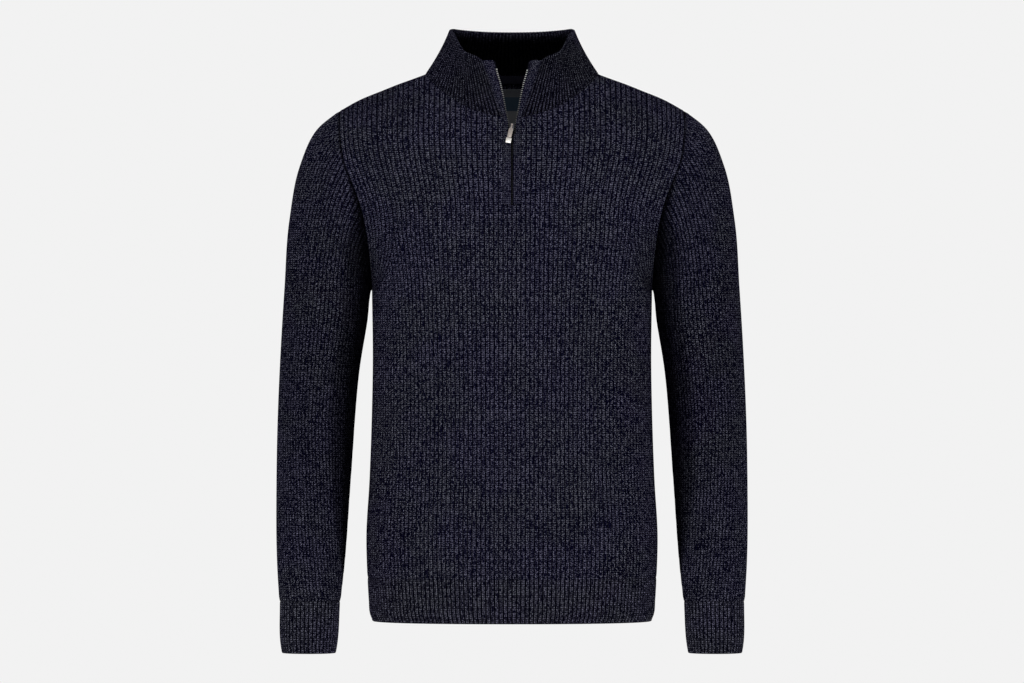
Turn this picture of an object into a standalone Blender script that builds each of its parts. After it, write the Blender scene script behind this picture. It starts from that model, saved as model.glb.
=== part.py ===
"""Quarter zip sweater: ribbed knit, set-in sleeves, a stand collar and a short zip.

It stands filled out as if worn, as hollow walls of cloth that are open at the neck, the
hem and the cuffs.  Metres, +Z up; +X is the wearer's left and the front faces -Y.  The
origin is in the middle of the neck opening, level with the high points of the shoulders.
Every size below is in millimetres, and MM turns it into metres when a mesh is made.
"""

import math

import bmesh
import bpy
import numpy as np
from mathutils import Matrix, Vector

MM = 0.001

# Cloth
WALL = 2.2              # cloth under the ribs
RIB = 1.0               # height of a rib above the valleys beside it
BAND_WALL = 2.4         # hem and cuff bands, under their ribs
COLLAR_WALL = 3.4       # the collar is knitted double
SEAM_GAP = 0.3          # between two pieces that are sewn together
SQUARENESS = 2.35       # exponent of the body's squared oval, 2 is an ellipse

# Heights
HEM_BOTTOM = -678.0
HEM_TURN = -669.5
HEM_SEAM = -624.0
ARMPIT = -269.0
SLOT_BOTTOM = -165.0
YOKE = -79.0            # above this level the panels close over the shoulders
CUFF_SEAM = -652.0
CUFF_TURN = -710.0
CUFF_BOTTOM = -716.5

# Ribs, and how many columns of cloth follow them
PANEL_RIBS = 86         # on the front, and again on the back
SLEEVE_RIBS = 56
CUFF_RIBS = 44
COLLAR_RIBS = 96
SLOT_HALF = 10.8        # half the width that is left for the zip and its strips
SLOT_RIBS = 4           # ribs below the slot, between its two edges
PANEL_NECK_SHARE = 0.54     # of half a panel's columns, those that end at the neck seam
COLLAR_FRONT_SHARE = 0.52   # of half the collar's columns, those in front of the shoulder
SHARP_ANGLE = 35.0      # degrees past which an edge is shaded sharp


def table(columns, *rows):
    """Return one array for each named column."""
    values = np.array(rows, dtype=float)
    return {name: values[:, i] for i, name in enumerate(columns.split())}


# Half widths of the body up to the armpit
BODY = table(
    "z side",
    (-678, 172.5), (-669.5, 176.0), (-652, 177.6), (-624, 179.2), (-575, 180.6),
    (-503, 176.7), (-430, 174.0), (-355, 172.6), (-269, 173.6))

# How far the body reaches forward and back on its centre line
CENTRE = table(
    "z front back",
    (-678, 104.0, 103.0), (-669.5, 107.5, 106.5), (-652, 110.0, 108.5),
    (-624, 113.0, 110.0), (-575, 115.0, 110.0), (-503, 114.0, 108.0),
    (-430, 115.0, 111.0), (-355, 120.0, 119.0), (-269, 127.0, 127.0),
    (-215, 129.5, 132.0), (-160, 126.0, 133.0), (-117, 116.0, 128.0),
    (-79, 98.0, 117.0))

# The armhole seam, from the armpit up to the shoulder point
ARMHOLE = table(
    "z x front back",
    (-269, 173.6, 0.0, 0.0), (-252, 174.4, 27.0, 29.0), (-225, 176.3, 52.0, 56.0),
    (-196, 180.0, 68.0, 73.0), (-165, 186.5, 75.5, 81.0), (-135, 197.5, 75.5, 81.0),
    (-108, 207.5, 68.5, 74.0), (-79, 212.0, 51.5, 57.0), (-57, 213.0, 29.5, 32.0),
    (-45, 213.4, 0.0, 0.0))

# The neck seam, from the middle of the front and of the back to the shoulder
NECK_FRONT = table(
    "x y z",
    (10.8, -85.5, -56.0), (30, -80.5, -52.0), (46, -74.0, -47.0), (61, -66.0, -40.0),
    (77, -53.5, -30.0), (92, -36.0, -18.0), (102, -19.0, -8.0), (108.0, 0.0, 0.0))
NECK_BACK = table(
    "x y z",
    (0, 66.0, 3.0), (28, 64.0, 3.0), (52, 58.0, 2.8), (76, 46.5, 2.4),
    (94, 30.0, 1.6), (104, 15.0, 0.8), (108.0, 0.0, 0.0))

# The shoulder seam, from the neck to the shoulder point
SHOULDER = table(
    "x y z",
    (108.0, 0, 0.0), (121.5, 0, -5.0), (141, 0, -12.0), (161, 0, -20.0),
    (190, 0, -32.0), (213.4, 0, -45.0))
YOKE_BULGE = {"front": 1.0, "back": 6.0}    # rounding of the centre line over the yoke
NECK_MIDDLE = -8.0      # y of the point that the neck's rims lean away from

# The sleeve: the outer and inner points of each section as seen from the front,
# half its depth from front to back, and how far it hangs forward
SLEEVE = table(
    "outer_x outer_z inner_x inner_z depth forward",
    (213.4, -45, 173.6, -269.0, 76.0, 0.0), (242.0, -69, 175.2, -271.5, 76.0, 0.0),
    (263.4, -115, 176.0, -275.5, 74.0, 0.0), (275.9, -180, 177.0, -283.0, 70.0, 1.0),
    (282.0, -265, 179.0, -305.0, 65.0, 3.0), (287.8, -365, 189.0, -368.0, 56.5, 6.0),
    (291.6, -503, 199.5, -503.0, 47.0, 13.0), (290.4, -610, 207.2, -610.0, 39.5, 21.0),
    (287.8, -652, 211.8, -652.0, 36.0, 24.0))
ARMHOLE_FADE = 3        # sections over which the bends of the armhole seam fade out
CUFF = table(
    "outer_x inner_x z depth forward",
    (287.2, 212.4, CUFF_SEAM, 35.5, 24.0), (285.4, 216.4, CUFF_TURN, 31.5, 29.0))

# The top edge of the collar, from its front end round to the middle of the back
COLLAR_TOP_FRONT = table(
    "x y z",
    (37.3, -68.0, 15.6), (45, -64.5, 20.2), (53, -59.0, 23.2), (60.5, -50.5, 27.6),
    (67, -38.0, 38.0), (71.8, -23.0, 48.5), (77.4, 2.0, 56.2))
COLLAR_TOP_BACK = table(
    "x y z",
    (0, 62.0, 54.0), (26, 59.5, 54.3), (48, 52.0, 55.2), (65, 38.0, 56.6),
    (74, 21.0, 57.4), (77.4, 2.0, 56.2))
COLLAR_TURN = 0.93      # where the collar begins to turn in, as a share of its height
COLLAR_RIM_RISE = 0.35  # how much the collar's lower rim slopes
COLLAR_GAP = 0.39       # to the panels below, along the collar's wall

# The strips beside the zip: how far their inner edges stand from the centre line
STRIP = table(
    "z inner",
    (14.5, 22.3), (-1, 19.4), (-14, 15.4), (-30, 11.7), (-45, 8.9), (-56, 6.4),
    (-64, 4.6), (-75, 4.2), (-81, 0.6), (-120, 0.5), (-164.7, 0.5))
STRIP_FORWARD = (0.02, 0.32)    # slope of the strips out of the slot and at the collar's top
STRIP_PROUD = 0.5       # the strips stand a little in front of the ribs
STRIP_CROWN = 0.7
STRIP_GAP = 0.45        # to the cloth beside them
STRIP_THICK = 2.6
TAPE_LAP = 2.6          # how far a tape shows beside its strip
TAPE_TRIM = 0.8         # from the cloth to the tape's hidden edge
TAPE_THICK = 0.7
TAPE_SET_BACK = 0.35

# The slider, across, along and out of the front, and its pull tab
SLIDER_HEIGHT = -69.0
SLIDER_SIZE = (6.2, 9.4, 3.4)
SLIDER_BACK = -2.1      # from the ribs' crests to the slider's back
PIN_ALONG = 2.2         # the pin lies this far above the slider's middle
SLIDER_BEVEL = 0.7
LUG_SIZE = (0.9, 2.2, 2.7)
LUG_BEVEL = 0.2
LUG_SINK = 0.2          # the lugs start this far inside the slider's face
LUG_SPACING = 3.9
PIN_RADIUS = 0.5
PIN_LIFT = 1.75         # from the slider's face to the pin's axis
EYE_RADIUS = 1.35
EYE_HOLE = 0.8
EYE_WIDTH = 2.2
PULL_START = 1.15       # the neck begins inside the eye, this far from the pin's axis
PULL_NECK = (1.76, 5.4)     # width, and where the neck ends, from the pin's axis
PULL_BODY = (5.4, 18.6)
PULL_BLOCK = (6.8, 25.6)
PULL_LAP = 0.5          # each stretch begins this far inside the one before it
PULL_NECK_THICK = 1.08
PULL_THICK = 1.2
PULL_BLOCK_THICK = 2.2
PULL_LEAN = 11.0        # degrees that the tab hangs to the wearer's right

# Inside the back of the neck
NECK_TAPE_DROP = 12.0   # its lower and upper edges, below the neck seam
NECK_TAPE_TOP = 1.5
LABEL_HALF_WIDTH = 29.0
LABEL_TOP = -13.0
LABEL_BOTTOM = -57.0
TRIM_THICK = 0.8
TRIM_GAP = 1.3          # from the inside of the back

# Levels of the panels' rows, and shares of the way over the yoke
PANEL_LEVELS = (HEM_SEAM, -560.0, -430.0, ARMPIT, -225.0, SLOT_BOTTOM, -112.0, YOKE)
YOKE_SHARES = (0.62, 1.0)

# Spacing of the plain inside: strips from the centre to the shoulder seam, and beyond it
INSIDE_NECK_STRIPS = 6
INSIDE_SHOULDER_STRIPS = 5


def smooth(knots, values, at):
    """Values at the given places on a smooth curve through the knots."""
    knots = np.asarray(knots, dtype=float)
    values = np.asarray(values, dtype=float)
    at = np.clip(at, knots[0], knots[-1])
    slopes = np.gradient(values, knots)
    i = np.clip(np.searchsorted(knots, at, side="right") - 1, 0, len(knots) - 2)
    step = knots[i + 1] - knots[i]
    f = (at - knots[i]) / step
    start = (1 + 2 * f) * (1 - f) ** 2
    return (start * values[i] + (1 - start) * values[i + 1]
            + step * f * (1 - f) * ((1 - f) * slopes[i] - f * slopes[i + 1]))


def lengths(points):
    """Share of a polyline's length at each of its points."""
    steps = np.linalg.norm(np.diff(points, axis=0), axis=1)
    run = np.concatenate([[0.0], np.cumsum(steps)])
    return run / run[-1]


def spread(points, shares):
    """Points at the given shares of a polyline's length."""
    along = lengths(points)
    return np.stack([np.interp(shares, along, points[:, k]) for k in range(3)], axis=-1)


def curve(rows, count=240):
    """A smooth, closely spaced polyline through the rows of an x y z table."""
    knots = np.stack([rows["x"], rows["y"], rows["z"]], axis=1)
    at = lengths(knots)
    fine = np.linspace(0, 1, count)
    return np.stack([smooth(at, knots[:, k], fine) for k in range(3)], axis=1)


def unit(vectors):
    """The vectors, each made one long."""
    return vectors / np.linalg.norm(vectors, axis=-1, keepdims=True)


def outward(grid, closed=False):
    """Unit normals of a grid whose columns run anticlockwise and whose rows run up."""
    if closed:
        across = np.roll(grid, -1, axis=1) - np.roll(grid, 1, axis=1)
    else:
        across = np.gradient(grid, axis=1)
    up = np.gradient(grid, axis=0)
    return unit(np.cross(across, up))


class Cloth:
    """Collects the points and faces of one closed piece."""

    def __init__(self):
        self.points = []
        self.faces = []
        self.count = 0

    def place(self, grid):
        """Add a grid of points and return their indices in the same layout."""
        flat = grid.reshape(-1, 3)
        index = self.count + np.arange(len(flat)).reshape(grid.shape[:-1])
        self.points.append(flat)
        self.count += len(flat)
        return index

    def sheet(self, index, leave_out=None):
        """Two triangles for each cell of the grid, but for the cells left out."""
        for row in range(index.shape[0] - 1):
            for column in range(index.shape[1] - 1):
                if leave_out is not None and leave_out(row, column):
                    continue
                a, b = index[row, column], index[row, column + 1]
                c, d = index[row + 1, column + 1], index[row + 1, column]
                if (row + column) % 2:
                    self.faces += [(a, b, c), (a, c, d)]
                else:
                    self.faces += [(a, b, d), (b, c, d)]

    def stitch(self, first, second, first_at, second_at):
        """Triangles between two chains of points, in the order of their places."""
        i, j = 0, 0
        while i < len(first) - 1 or j < len(second) - 1:
            second_done = j == len(second) - 1
            if second_done or (i < len(first) - 1 and first_at[i + 1] <= second_at[j + 1]):
                self.faces.append((first[i], first[i + 1], second[j]))
                i += 1
            else:
                self.faces.append((first[i], second[j + 1], second[j]))
                j += 1

    def build(self, name, finish):
        """Make the object, with its faces pointing out."""
        mesh = bpy.data.meshes.new(name)
        points = np.concatenate(self.points) * MM
        mesh.from_pydata(points.tolist(), [], [tuple(int(i) for i in f) for f in self.faces])
        return finish_mesh(mesh, name, finish)


def finish_mesh(mesh, name, finish):
    """Turn the faces out, shade the mesh and put it into the scene."""
    work = bmesh.new()
    work.from_mesh(mesh)
    bmesh.ops.triangulate(work, faces=work.faces)
    bmesh.ops.recalc_face_normals(work, faces=work.faces)
    work.to_mesh(mesh)
    work.free()
    mesh.shade_smooth()
    mesh.set_sharp_from_angle(angle=math.radians(SHARP_ANGLE))
    mesh.materials.append(material(name, *finish))
    piece = bpy.data.objects.new(name, mesh)
    bpy.context.scene.collection.objects.link(piece)
    return piece


def material(name, colour, roughness, metallic=0.0):
    """A plain material of the piece's own."""
    made = bpy.data.materials.new(name)
    made.use_nodes = True
    shader = made.node_tree.nodes["Principled BSDF"]
    shader.inputs["Base Color"].default_value = (*colour, 1.0)
    shader.inputs["Roughness"].default_value = roughness
    shader.inputs["Metallic"].default_value = metallic
    return made


NAVY = ((0.018, 0.019, 0.034), 0.95)
NAVY_TRIM = ((0.014, 0.015, 0.028), 0.95)
TAPE_CLOTH = ((0.010, 0.011, 0.020), 0.9)
LABEL_CLOTH = ((0.20, 0.22, 0.24), 0.8)
METAL = ((0.62, 0.60, 0.56), 0.3, 1.0)


def armhole_loop(count=400):
    """The armhole seam of the wearer's left, up the front and down the back."""
    front = np.stack([ARMHOLE["x"], -ARMHOLE["front"], ARMHOLE["z"]], axis=1)
    back = np.stack([ARMHOLE["x"], ARMHOLE["back"], ARMHOLE["z"]], axis=1)[::-1]
    knots = np.concatenate([front, back[1:]])
    at = lengths(knots)
    fine = np.sort(np.concatenate([np.linspace(0, 1, count), [at[len(front) - 1]]]))
    points = np.stack([smooth(at, knots[:, k], fine) for k in range(3)], axis=1)
    top = int(np.argmin(np.abs(fine - at[len(front) - 1])))
    return points[:top + 1], points[top:][::-1]


ARMHOLE_CURVE = dict(zip(("front", "back"), armhole_loop()))


def armhole_point(face, z):
    """The armhole seam at one level."""
    seam = ARMHOLE_CURVE[face]
    return np.array([np.interp(z, seam[:, 2], seam[:, 0]), np.interp(z, seam[:, 2], seam[:, 1]), z])


def level_curve(face, z, start):
    """Half of a panel's level: from the centre to the side seam or the armhole."""
    sign = -1 if face == "front" else 1
    depth = smooth(CENTRE["z"], CENTRE[face], z)
    if z <= ARMPIT:
        side = smooth(BODY["z"], BODY["side"], z)
        end = math.pi / 2
    else:
        x, y, _ = armhole_point(face, z)
        side = x / (1 - (abs(y) / depth) ** SQUARENESS) ** (1 / SQUARENESS)
        end = math.asin((x / side) ** (SQUARENESS / 2))
    angle = np.linspace(math.asin((start / side) ** (SQUARENESS / 2)), end, 240)
    x = side * np.sin(angle) ** (2 / SQUARENESS)
    y = sign * depth * np.clip(np.cos(angle), 0, 1) ** (2 / SQUARENESS)
    return np.stack([x, y, np.full_like(x, z)], axis=1)


def neck_and_shoulder(face, shares, neck_share):
    """The top edge of half a panel: the neck seam, then the shoulder seam."""
    neck = curve(NECK_FRONT if face == "front" else NECK_BACK)
    shoulder = curve(SHOULDER)
    on_neck = spread(neck, np.clip(shares / neck_share, 0, 1))
    on_shoulder = spread(shoulder, np.clip((shares - neck_share) / (1 - neck_share), 0, 1))
    return np.where((shares <= neck_share)[:, None], on_neck, on_shoulder)


def half_panel(face, shares, neck_share):
    """Crest points of the wearer's left half of a panel, row by row from the hem seam."""
    start = SLOT_HALF if face == "front" else 0.0
    rows = [spread(level_curve(face, z, start), shares) for z in PANEL_LEVELS]
    bottom = rows[-1]
    top = neck_and_shoulder(face, shares, neck_share)
    seam = ARMHOLE_CURVE[face]
    seam = seam[seam[:, 2] >= YOKE]
    sign = -1 if face == "front" else 1
    for share in YOKE_SHARES:
        straight = bottom + (top - bottom) * share
        seam_bend = spread(seam, share) - (seam[0] + (seam[-1] - seam[0]) * share)
        bulge = YOKE_BULGE[face] * 4 * share * (1 - share) * math.sqrt(0.5)
        centre_bend = np.array([0.0, sign * bulge, bulge])
        rows.append(straight + shares[:, None] * seam_bend + (1 - shares[:, None]) * centre_bend)
    return np.stack(rows)


def rim_normals(face, grid, normals, neck_count):
    """Turn the normals at the seams so that sewn pieces meet edge to edge."""
    armpit_row = PANEL_LEVELS.index(ARMPIT)
    normals = normals.copy()
    for row in range(len(grid)):
        if row < armpit_row:
            normals[row, -1] = (1, 0, 0)
        else:
            normals[row, -1] = armhole_normal(grid[row, -1])
    flat = normals[0]
    flat[:, 2] = 0
    normals[0] = unit(flat)
    top = normals[-1, neck_count:-1]
    top[:, 1] = 0
    normals[-1, neck_count:-1] = unit(top)
    inner = normals[-1, :neck_count]
    normals[-1, :neck_count] = unit(inner + neck_lean(grid[-1, :neck_count]))
    return normals


def armhole_normal(points):
    """Directions out from the middle of the armhole, along its plane."""
    middle = np.array([0.0, 0.0, (ARMPIT + SHOULDER["z"][-1]) / 2])
    away = points - middle
    away[..., 0] = 0
    return unit(away)


def neck_lean(points):
    """Level directions out from the middle of the neck."""
    away = points.copy()
    away[:, 1] -= NECK_MIDDLE
    away[:, 2] = 0
    return unit(away)


def panel_half_grids(face, shares, neck_count, neck_share):
    """Crest points and normals of half a panel at the given shares of its width."""
    grid = half_panel(face, shares, neck_share)
    across = np.gradient(grid, axis=1)
    up = np.gradient(grid, axis=0)
    sign = 1 if face == "front" else -1
    normals = unit(np.cross(across, up) * sign)
    return grid, rim_normals(face, grid, normals, neck_count)


def mirrored(grid):
    """The same grid on the wearer's right."""
    return grid[:, ::-1] * np.array([-1.0, 1.0, 1.0])


def neck_strips(face):
    """Ribbed columns of half a panel, and how many of them end at the neck."""
    half = PANEL_RIBS
    if face == "front":
        half -= SLOT_RIBS
    return half, int(round(half * PANEL_NECK_SHARE))


def panel_shares(face):
    """Shares of the half width for the ribbed outside and for the plain inside."""
    strips, neck = neck_strips(face)
    outside = np.linspace(0, 1, strips + 1)
    inside = np.concatenate([np.linspace(0, neck / strips, INSIDE_NECK_STRIPS + 1),
                             np.linspace(neck / strips, 1, INSIDE_SHOULDER_STRIPS + 1)[1:]])
    return outside, inside, neck / strips


def whole_panel(face, shares, neck_count, neck_share, middle):
    """Crest points and normals of a panel from its right edge to its left edge."""
    grid, normals = panel_half_grids(face, shares, neck_count, neck_share)
    right, right_normals = mirrored(grid), mirrored(normals)
    if face == "back":
        return (np.concatenate([right[:, :-1], grid], axis=1),
                np.concatenate([right_normals[:, :-1], normals], axis=1))
    fill = np.linspace(0, 1, middle + 1)[1:-1, None]
    centre = right[:, -1:] * (1 - fill) + grid[:, :1] * fill
    centre_normals = unit(right_normals[:, -1:] * (1 - fill) + normals[:, :1] * fill)
    return (np.concatenate([right, centre, grid], axis=1),
            np.concatenate([right_normals, centre_normals, normals], axis=1))


def ribbed(grid, normals, height=RIB):
    """Sink every other column by the height of a rib."""
    sunk = (np.arange(grid.shape[1]) % 2 == 0) * height
    return grid - normals * sunk[None, :, None]


def panel_wall(face):
    """The outer and inner points of a panel, and the shares of its width they stand at."""
    outside, inside, neck_share = panel_shares(face)
    strips, neck = neck_strips(face)
    outer, outer_normals = whole_panel(face, outside, neck, neck_share, 2 * SLOT_RIBS)
    inner, inner_normals = whole_panel(face, inside, INSIDE_NECK_STRIPS, neck_share, 2)
    sign = -1 if face == "front" else 1
    seam_shift = np.array([0.0, sign * SEAM_GAP / 2, 0.0])
    outer = ribbed(outer, outer_normals) + seam_shift
    inner = inner - inner_normals * (WALL + RIB) + seam_shift
    return outer, inner, outside, inside


def both_sides(shares, middle_gap):
    """Places from -1 to 1 across a whole panel, with a step over the slot."""
    if middle_gap:
        return np.concatenate([-shares[::-1] - middle_gap, middle_gap + shares])
    return np.concatenate([-shares[::-1], shares[1:]])


def build_back():
    """The back panel; returns its plain inside, which carries the neck tape and the label."""
    outer, inner, outside, inside = panel_wall("back")
    cloth = Cloth()
    a, b = cloth.place(outer), cloth.place(inner)
    cloth.sheet(a)
    cloth.sheet(b)
    at_outer, at_inner = both_sides(outside, 0), both_sides(inside, 0)
    rows = np.arange(len(outer))
    for row in (0, -1):
        cloth.stitch(a[row], b[row], at_outer, at_inner)
    for column in (0, -1):
        cloth.stitch(a[:, column], b[:, column], rows, rows)
    cloth.build("back", NAVY)
    return inner


def build_front():
    """The front panel, with the slot for the zip open from its top edge."""
    outer, inner, outside, inside = panel_wall("front")
    cloth = Cloth()
    a, b = cloth.place(outer), cloth.place(inner)
    slot_row = PANEL_LEVELS.index(SLOT_BOTTOM)
    left_a, right_a = len(outside) - 1, len(outside) - 1 + 2 * SLOT_RIBS
    left_b, right_b = len(inside) - 1, len(inside) + 1
    cloth.sheet(a, lambda row, column: row >= slot_row and left_a <= column < right_a)
    cloth.sheet(b, lambda row, column: row >= slot_row and left_b <= column < right_b)
    rows = np.arange(len(outer))
    at_a = np.concatenate([-outside[::-1] - 1, np.linspace(-1, 1, 2 * SLOT_RIBS + 1)[1:-1],
                           1 + outside])
    at_b = np.concatenate([-inside[::-1] - 1, [0.0], 1 + inside])
    cloth.stitch(a[0], b[0], at_a, at_b)
    for column in (0, -1):
        cloth.stitch(a[:, column], b[:, column], rows, rows)
    cloth.stitch(a[-1, :left_a + 1], b[-1, :left_b + 1], at_a[:left_a + 1], at_b[:left_b + 1])
    cloth.stitch(a[-1, right_a:], b[-1, right_b:], at_a[right_a:], at_b[right_b:])
    for edge_a, edge_b in ((left_a, left_b), (right_a, right_b)):
        cloth.stitch(a[slot_row:, edge_a], b[slot_row:, edge_b], rows[slot_row:], rows[slot_row:])
    cloth.stitch(a[slot_row, left_a:right_a + 1], b[slot_row, left_b:right_b + 1],
                 at_a[left_a:right_a + 1], at_b[left_b:right_b + 1])
    cloth.build("front", NAVY)


def band_level(face, z, shares):
    """Crest points of a whole hem band at one level, from right to left."""
    half = spread(level_curve(face, z, 0.0), shares)
    right = half[::-1] * np.array([-1.0, 1.0, 1.0])
    return np.concatenate([right[:-1], half])


def build_hem(face):
    """One hem band; its bottom edge turns in to the middle of the wall."""
    sign = -1 if face == "front" else 1
    top = HEM_SEAM - SEAM_GAP
    thick = BAND_WALL + RIB
    outside = np.linspace(0, 1, PANEL_RIBS + 1)
    inside = np.linspace(0, 1, INSIDE_NECK_STRIPS + INSIDE_SHOULDER_STRIPS + 1)
    shift = np.array([0.0, sign * SEAM_GAP / 2, 0.0])
    walls = []
    for shares in (outside, inside):
        crest = np.stack([band_level(face, z, shares) for z in (top, HEM_TURN)])
        normals = unit(np.cross(np.gradient(crest, axis=1), np.array([0.0, 0.0, -sign])))
        normals[:, (0, -1)] = [(-1, 0, 0), (1, 0, 0)]
        walls.append((crest, normals))
    (crest, normals), (inner_crest, inner_normals) = walls
    edge = crest[-1] - normals[-1] * thick / 2 + np.array([0.0, 0.0, HEM_BOTTOM - HEM_TURN])
    outer = np.concatenate([ribbed(crest, normals), edge[None]]) + shift
    inner = inner_crest - inner_normals * thick + shift
    cloth = Cloth()
    a, b = cloth.place(outer), cloth.place(inner)
    cloth.sheet(a)
    cloth.sheet(b)
    at_a, at_b = both_sides(outside, 0), both_sides(inside, 0)
    cloth.stitch(a[0], b[0], at_a, at_b)
    cloth.stitch(a[-1], b[-1], at_a, at_b)
    for column in (0, -1):
        cloth.stitch(a[:, column], b[:, column], (0, 1, 2), (0, 1.5))
    cloth.build("hem_rib_" + face, NAVY)


def sleeve_section(row, count=181):
    """One section of the left sleeve: front half and back half, from the top down."""
    turn = np.linspace(0, math.pi, count)
    share = (1 + np.cos(turn)) / 2
    x = SLEEVE["inner_x"][row] + (SLEEVE["outer_x"][row] - SLEEVE["inner_x"][row]) * share
    z = SLEEVE["inner_z"][row] + (SLEEVE["outer_z"][row] - SLEEVE["inner_z"][row]) * share
    y = SLEEVE["depth"][row] * np.sin(turn)
    forward = SLEEVE["forward"][row]
    front = np.stack([x, -y - forward, z], axis=1)
    back = np.stack([x, y - forward, z], axis=1)
    return front, back


def seam_bend(face, turn_count):
    """How far the armhole seam bows from the first section's plane."""
    seam = ARMHOLE_CURVE[face][::-1]
    front, back = sleeve_section(0)
    plane = front if face == "front" else back
    shares = np.linspace(0, 1, turn_count)
    return spread(seam, shares) - spread(plane, shares)


def round_tube(front, back, shares_front, shares_back):
    """Points round a tube: down its front and up its back, the first not repeated."""
    down = spread(front, shares_front)
    up = spread(back, shares_back)[::-1]
    return np.concatenate([down[:-1], up[:-1]])


def armhole_polyline(edge):
    """The panel's armhole edge from the shoulder point down to the armpit."""
    return edge[PANEL_LEVELS.index(ARMPIT):][::-1]


def build_sleeve(name, side, edges):
    """A sleeve from the armhole edge to the cuff seam."""
    polyline = {face: armhole_polyline(edges[face]) for face in edges}
    half = SLEEVE_RIBS
    even = np.linspace(0, 1, half + 1)
    knots = {face: lengths(polyline[face]) for face in polyline}
    grids = []
    for shares in ((even, even), (knots["front"], knots["back"])):
        rows = [round_tube(polyline["front"], polyline["back"], *shares)]
        for row in range(1, len(SLEEVE["depth"])):
            front, back = sleeve_section(row)
            fade = max(0.0, 1 - row / ARMHOLE_FADE) ** 2
            front = front + seam_bend("front", len(front)) * fade
            back = back + seam_bend("back", len(back)) * fade
            rows.append(round_tube(front, back, *shares))
        grids.append(np.stack(rows))
    walls = []
    for grid in grids:
        normals = outward(grid[::-1], closed=True)[::-1] * -1
        normals[0] = armhole_normal(grid[0])
        bottom = normals[-1]
        bottom[:, 2] = 0
        normals[-1] = unit(bottom)
        grid[0, :, 0] += SEAM_GAP
        walls.append((grid, normals))
    outer = ribbed(*walls[0])
    inner = walls[1][0] - walls[1][1] * (WALL + RIB)
    place_at = np.concatenate([even[:-1], 1 + (1 - even[::-1])[:-1], [2.0]])
    inner_at = np.concatenate([knots["front"][:-1], 1 + (1 - knots["back"][::-1])[:-1], [2.0]])
    build_tube(name, side, outer, inner, place_at, inner_at)


def build_tube(name, side, outer, inner, outer_at, inner_at):
    """Close a tube's wall with a rim at each end."""
    flip = np.array([side, 1.0, 1.0])
    cloth = Cloth()
    a, b = cloth.place(outer * flip), cloth.place(inner * flip)
    a = np.concatenate([a, a[:, :1]], axis=1)
    b = np.concatenate([b, b[:, :1]], axis=1)
    cloth.sheet(a)
    cloth.sheet(b)
    cloth.stitch(a[0], b[0], outer_at, inner_at)
    cloth.stitch(a[-1], b[-1], outer_at, inner_at)
    cloth.build(name, NAVY)


def build_cuff(name, side):
    """A cuff; its bottom edge turns in to the middle of the wall."""
    thick = BAND_WALL + RIB
    grids = []
    for count in (2 * CUFF_RIBS, 16):
        turn = np.linspace(0, 2 * math.pi, count, endpoint=False)
        rows = []
        for row in range(2):
            middle = (CUFF["outer_x"][row] + CUFF["inner_x"][row]) / 2
            wide = (CUFF["outer_x"][row] - CUFF["inner_x"][row]) / 2
            level = CUFF["z"][row] - (SEAM_GAP if row == 0 else 0)
            rows.append(np.stack([middle + wide * np.cos(turn),
                                  -CUFF["forward"][row] - CUFF["depth"][row] * np.sin(turn),
                                  np.full(count, level)], axis=1))
        grid = np.stack(rows)
        normals = np.stack([np.cos(turn), -np.sin(turn), np.zeros(count)], axis=1)
        grids.append((grid, np.stack([normals, normals])))
    (crest, normals), (inner_crest, inner_normals) = grids
    edge = crest[-1] - normals[-1] * thick / 2 + np.array([0, 0, CUFF_BOTTOM - CUFF_TURN])
    outer = np.concatenate([ribbed(crest, normals), edge[None]])
    inner = inner_crest - inner_normals * thick
    outer_at = np.linspace(0, 1, outer.shape[1] + 1)
    inner_at = np.linspace(0, 1, inner.shape[1] + 1)
    build_tube(name, side, outer, inner, outer_at, inner_at)


def collar_curves():
    """Half of the collar's bottom and top edges, each as a front and a back stretch."""
    bottom = (curve(NECK_FRONT), curve(NECK_BACK)[::-1])
    top = (curve(COLLAR_TOP_FRONT), curve(COLLAR_TOP_BACK)[::-1])
    return bottom, top


def collar_half(front_shares, back_shares, height):
    """Crest points of the left half of the collar at one share of its height."""
    bottom, top = collar_curves()
    stretches = []
    for k, shares in enumerate((front_shares, back_shares)):
        low = spread(bottom[k], shares)
        high = spread(top[k], shares)
        stretches.append(low + (high - low) * height)
    return np.concatenate([stretches[0][:-1], stretches[1]])


def collar_grid(front_shares, back_shares, heights):
    """Crest points of the whole collar, anticlockwise from its left front end."""
    rows = []
    for height in heights:
        half = collar_half(front_shares, back_shares, height)
        other = half[::-1] * np.array([-1.0, 1.0, 1.0])
        rows.append(np.concatenate([half, other[1:]]))
    return np.stack(rows)


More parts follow.
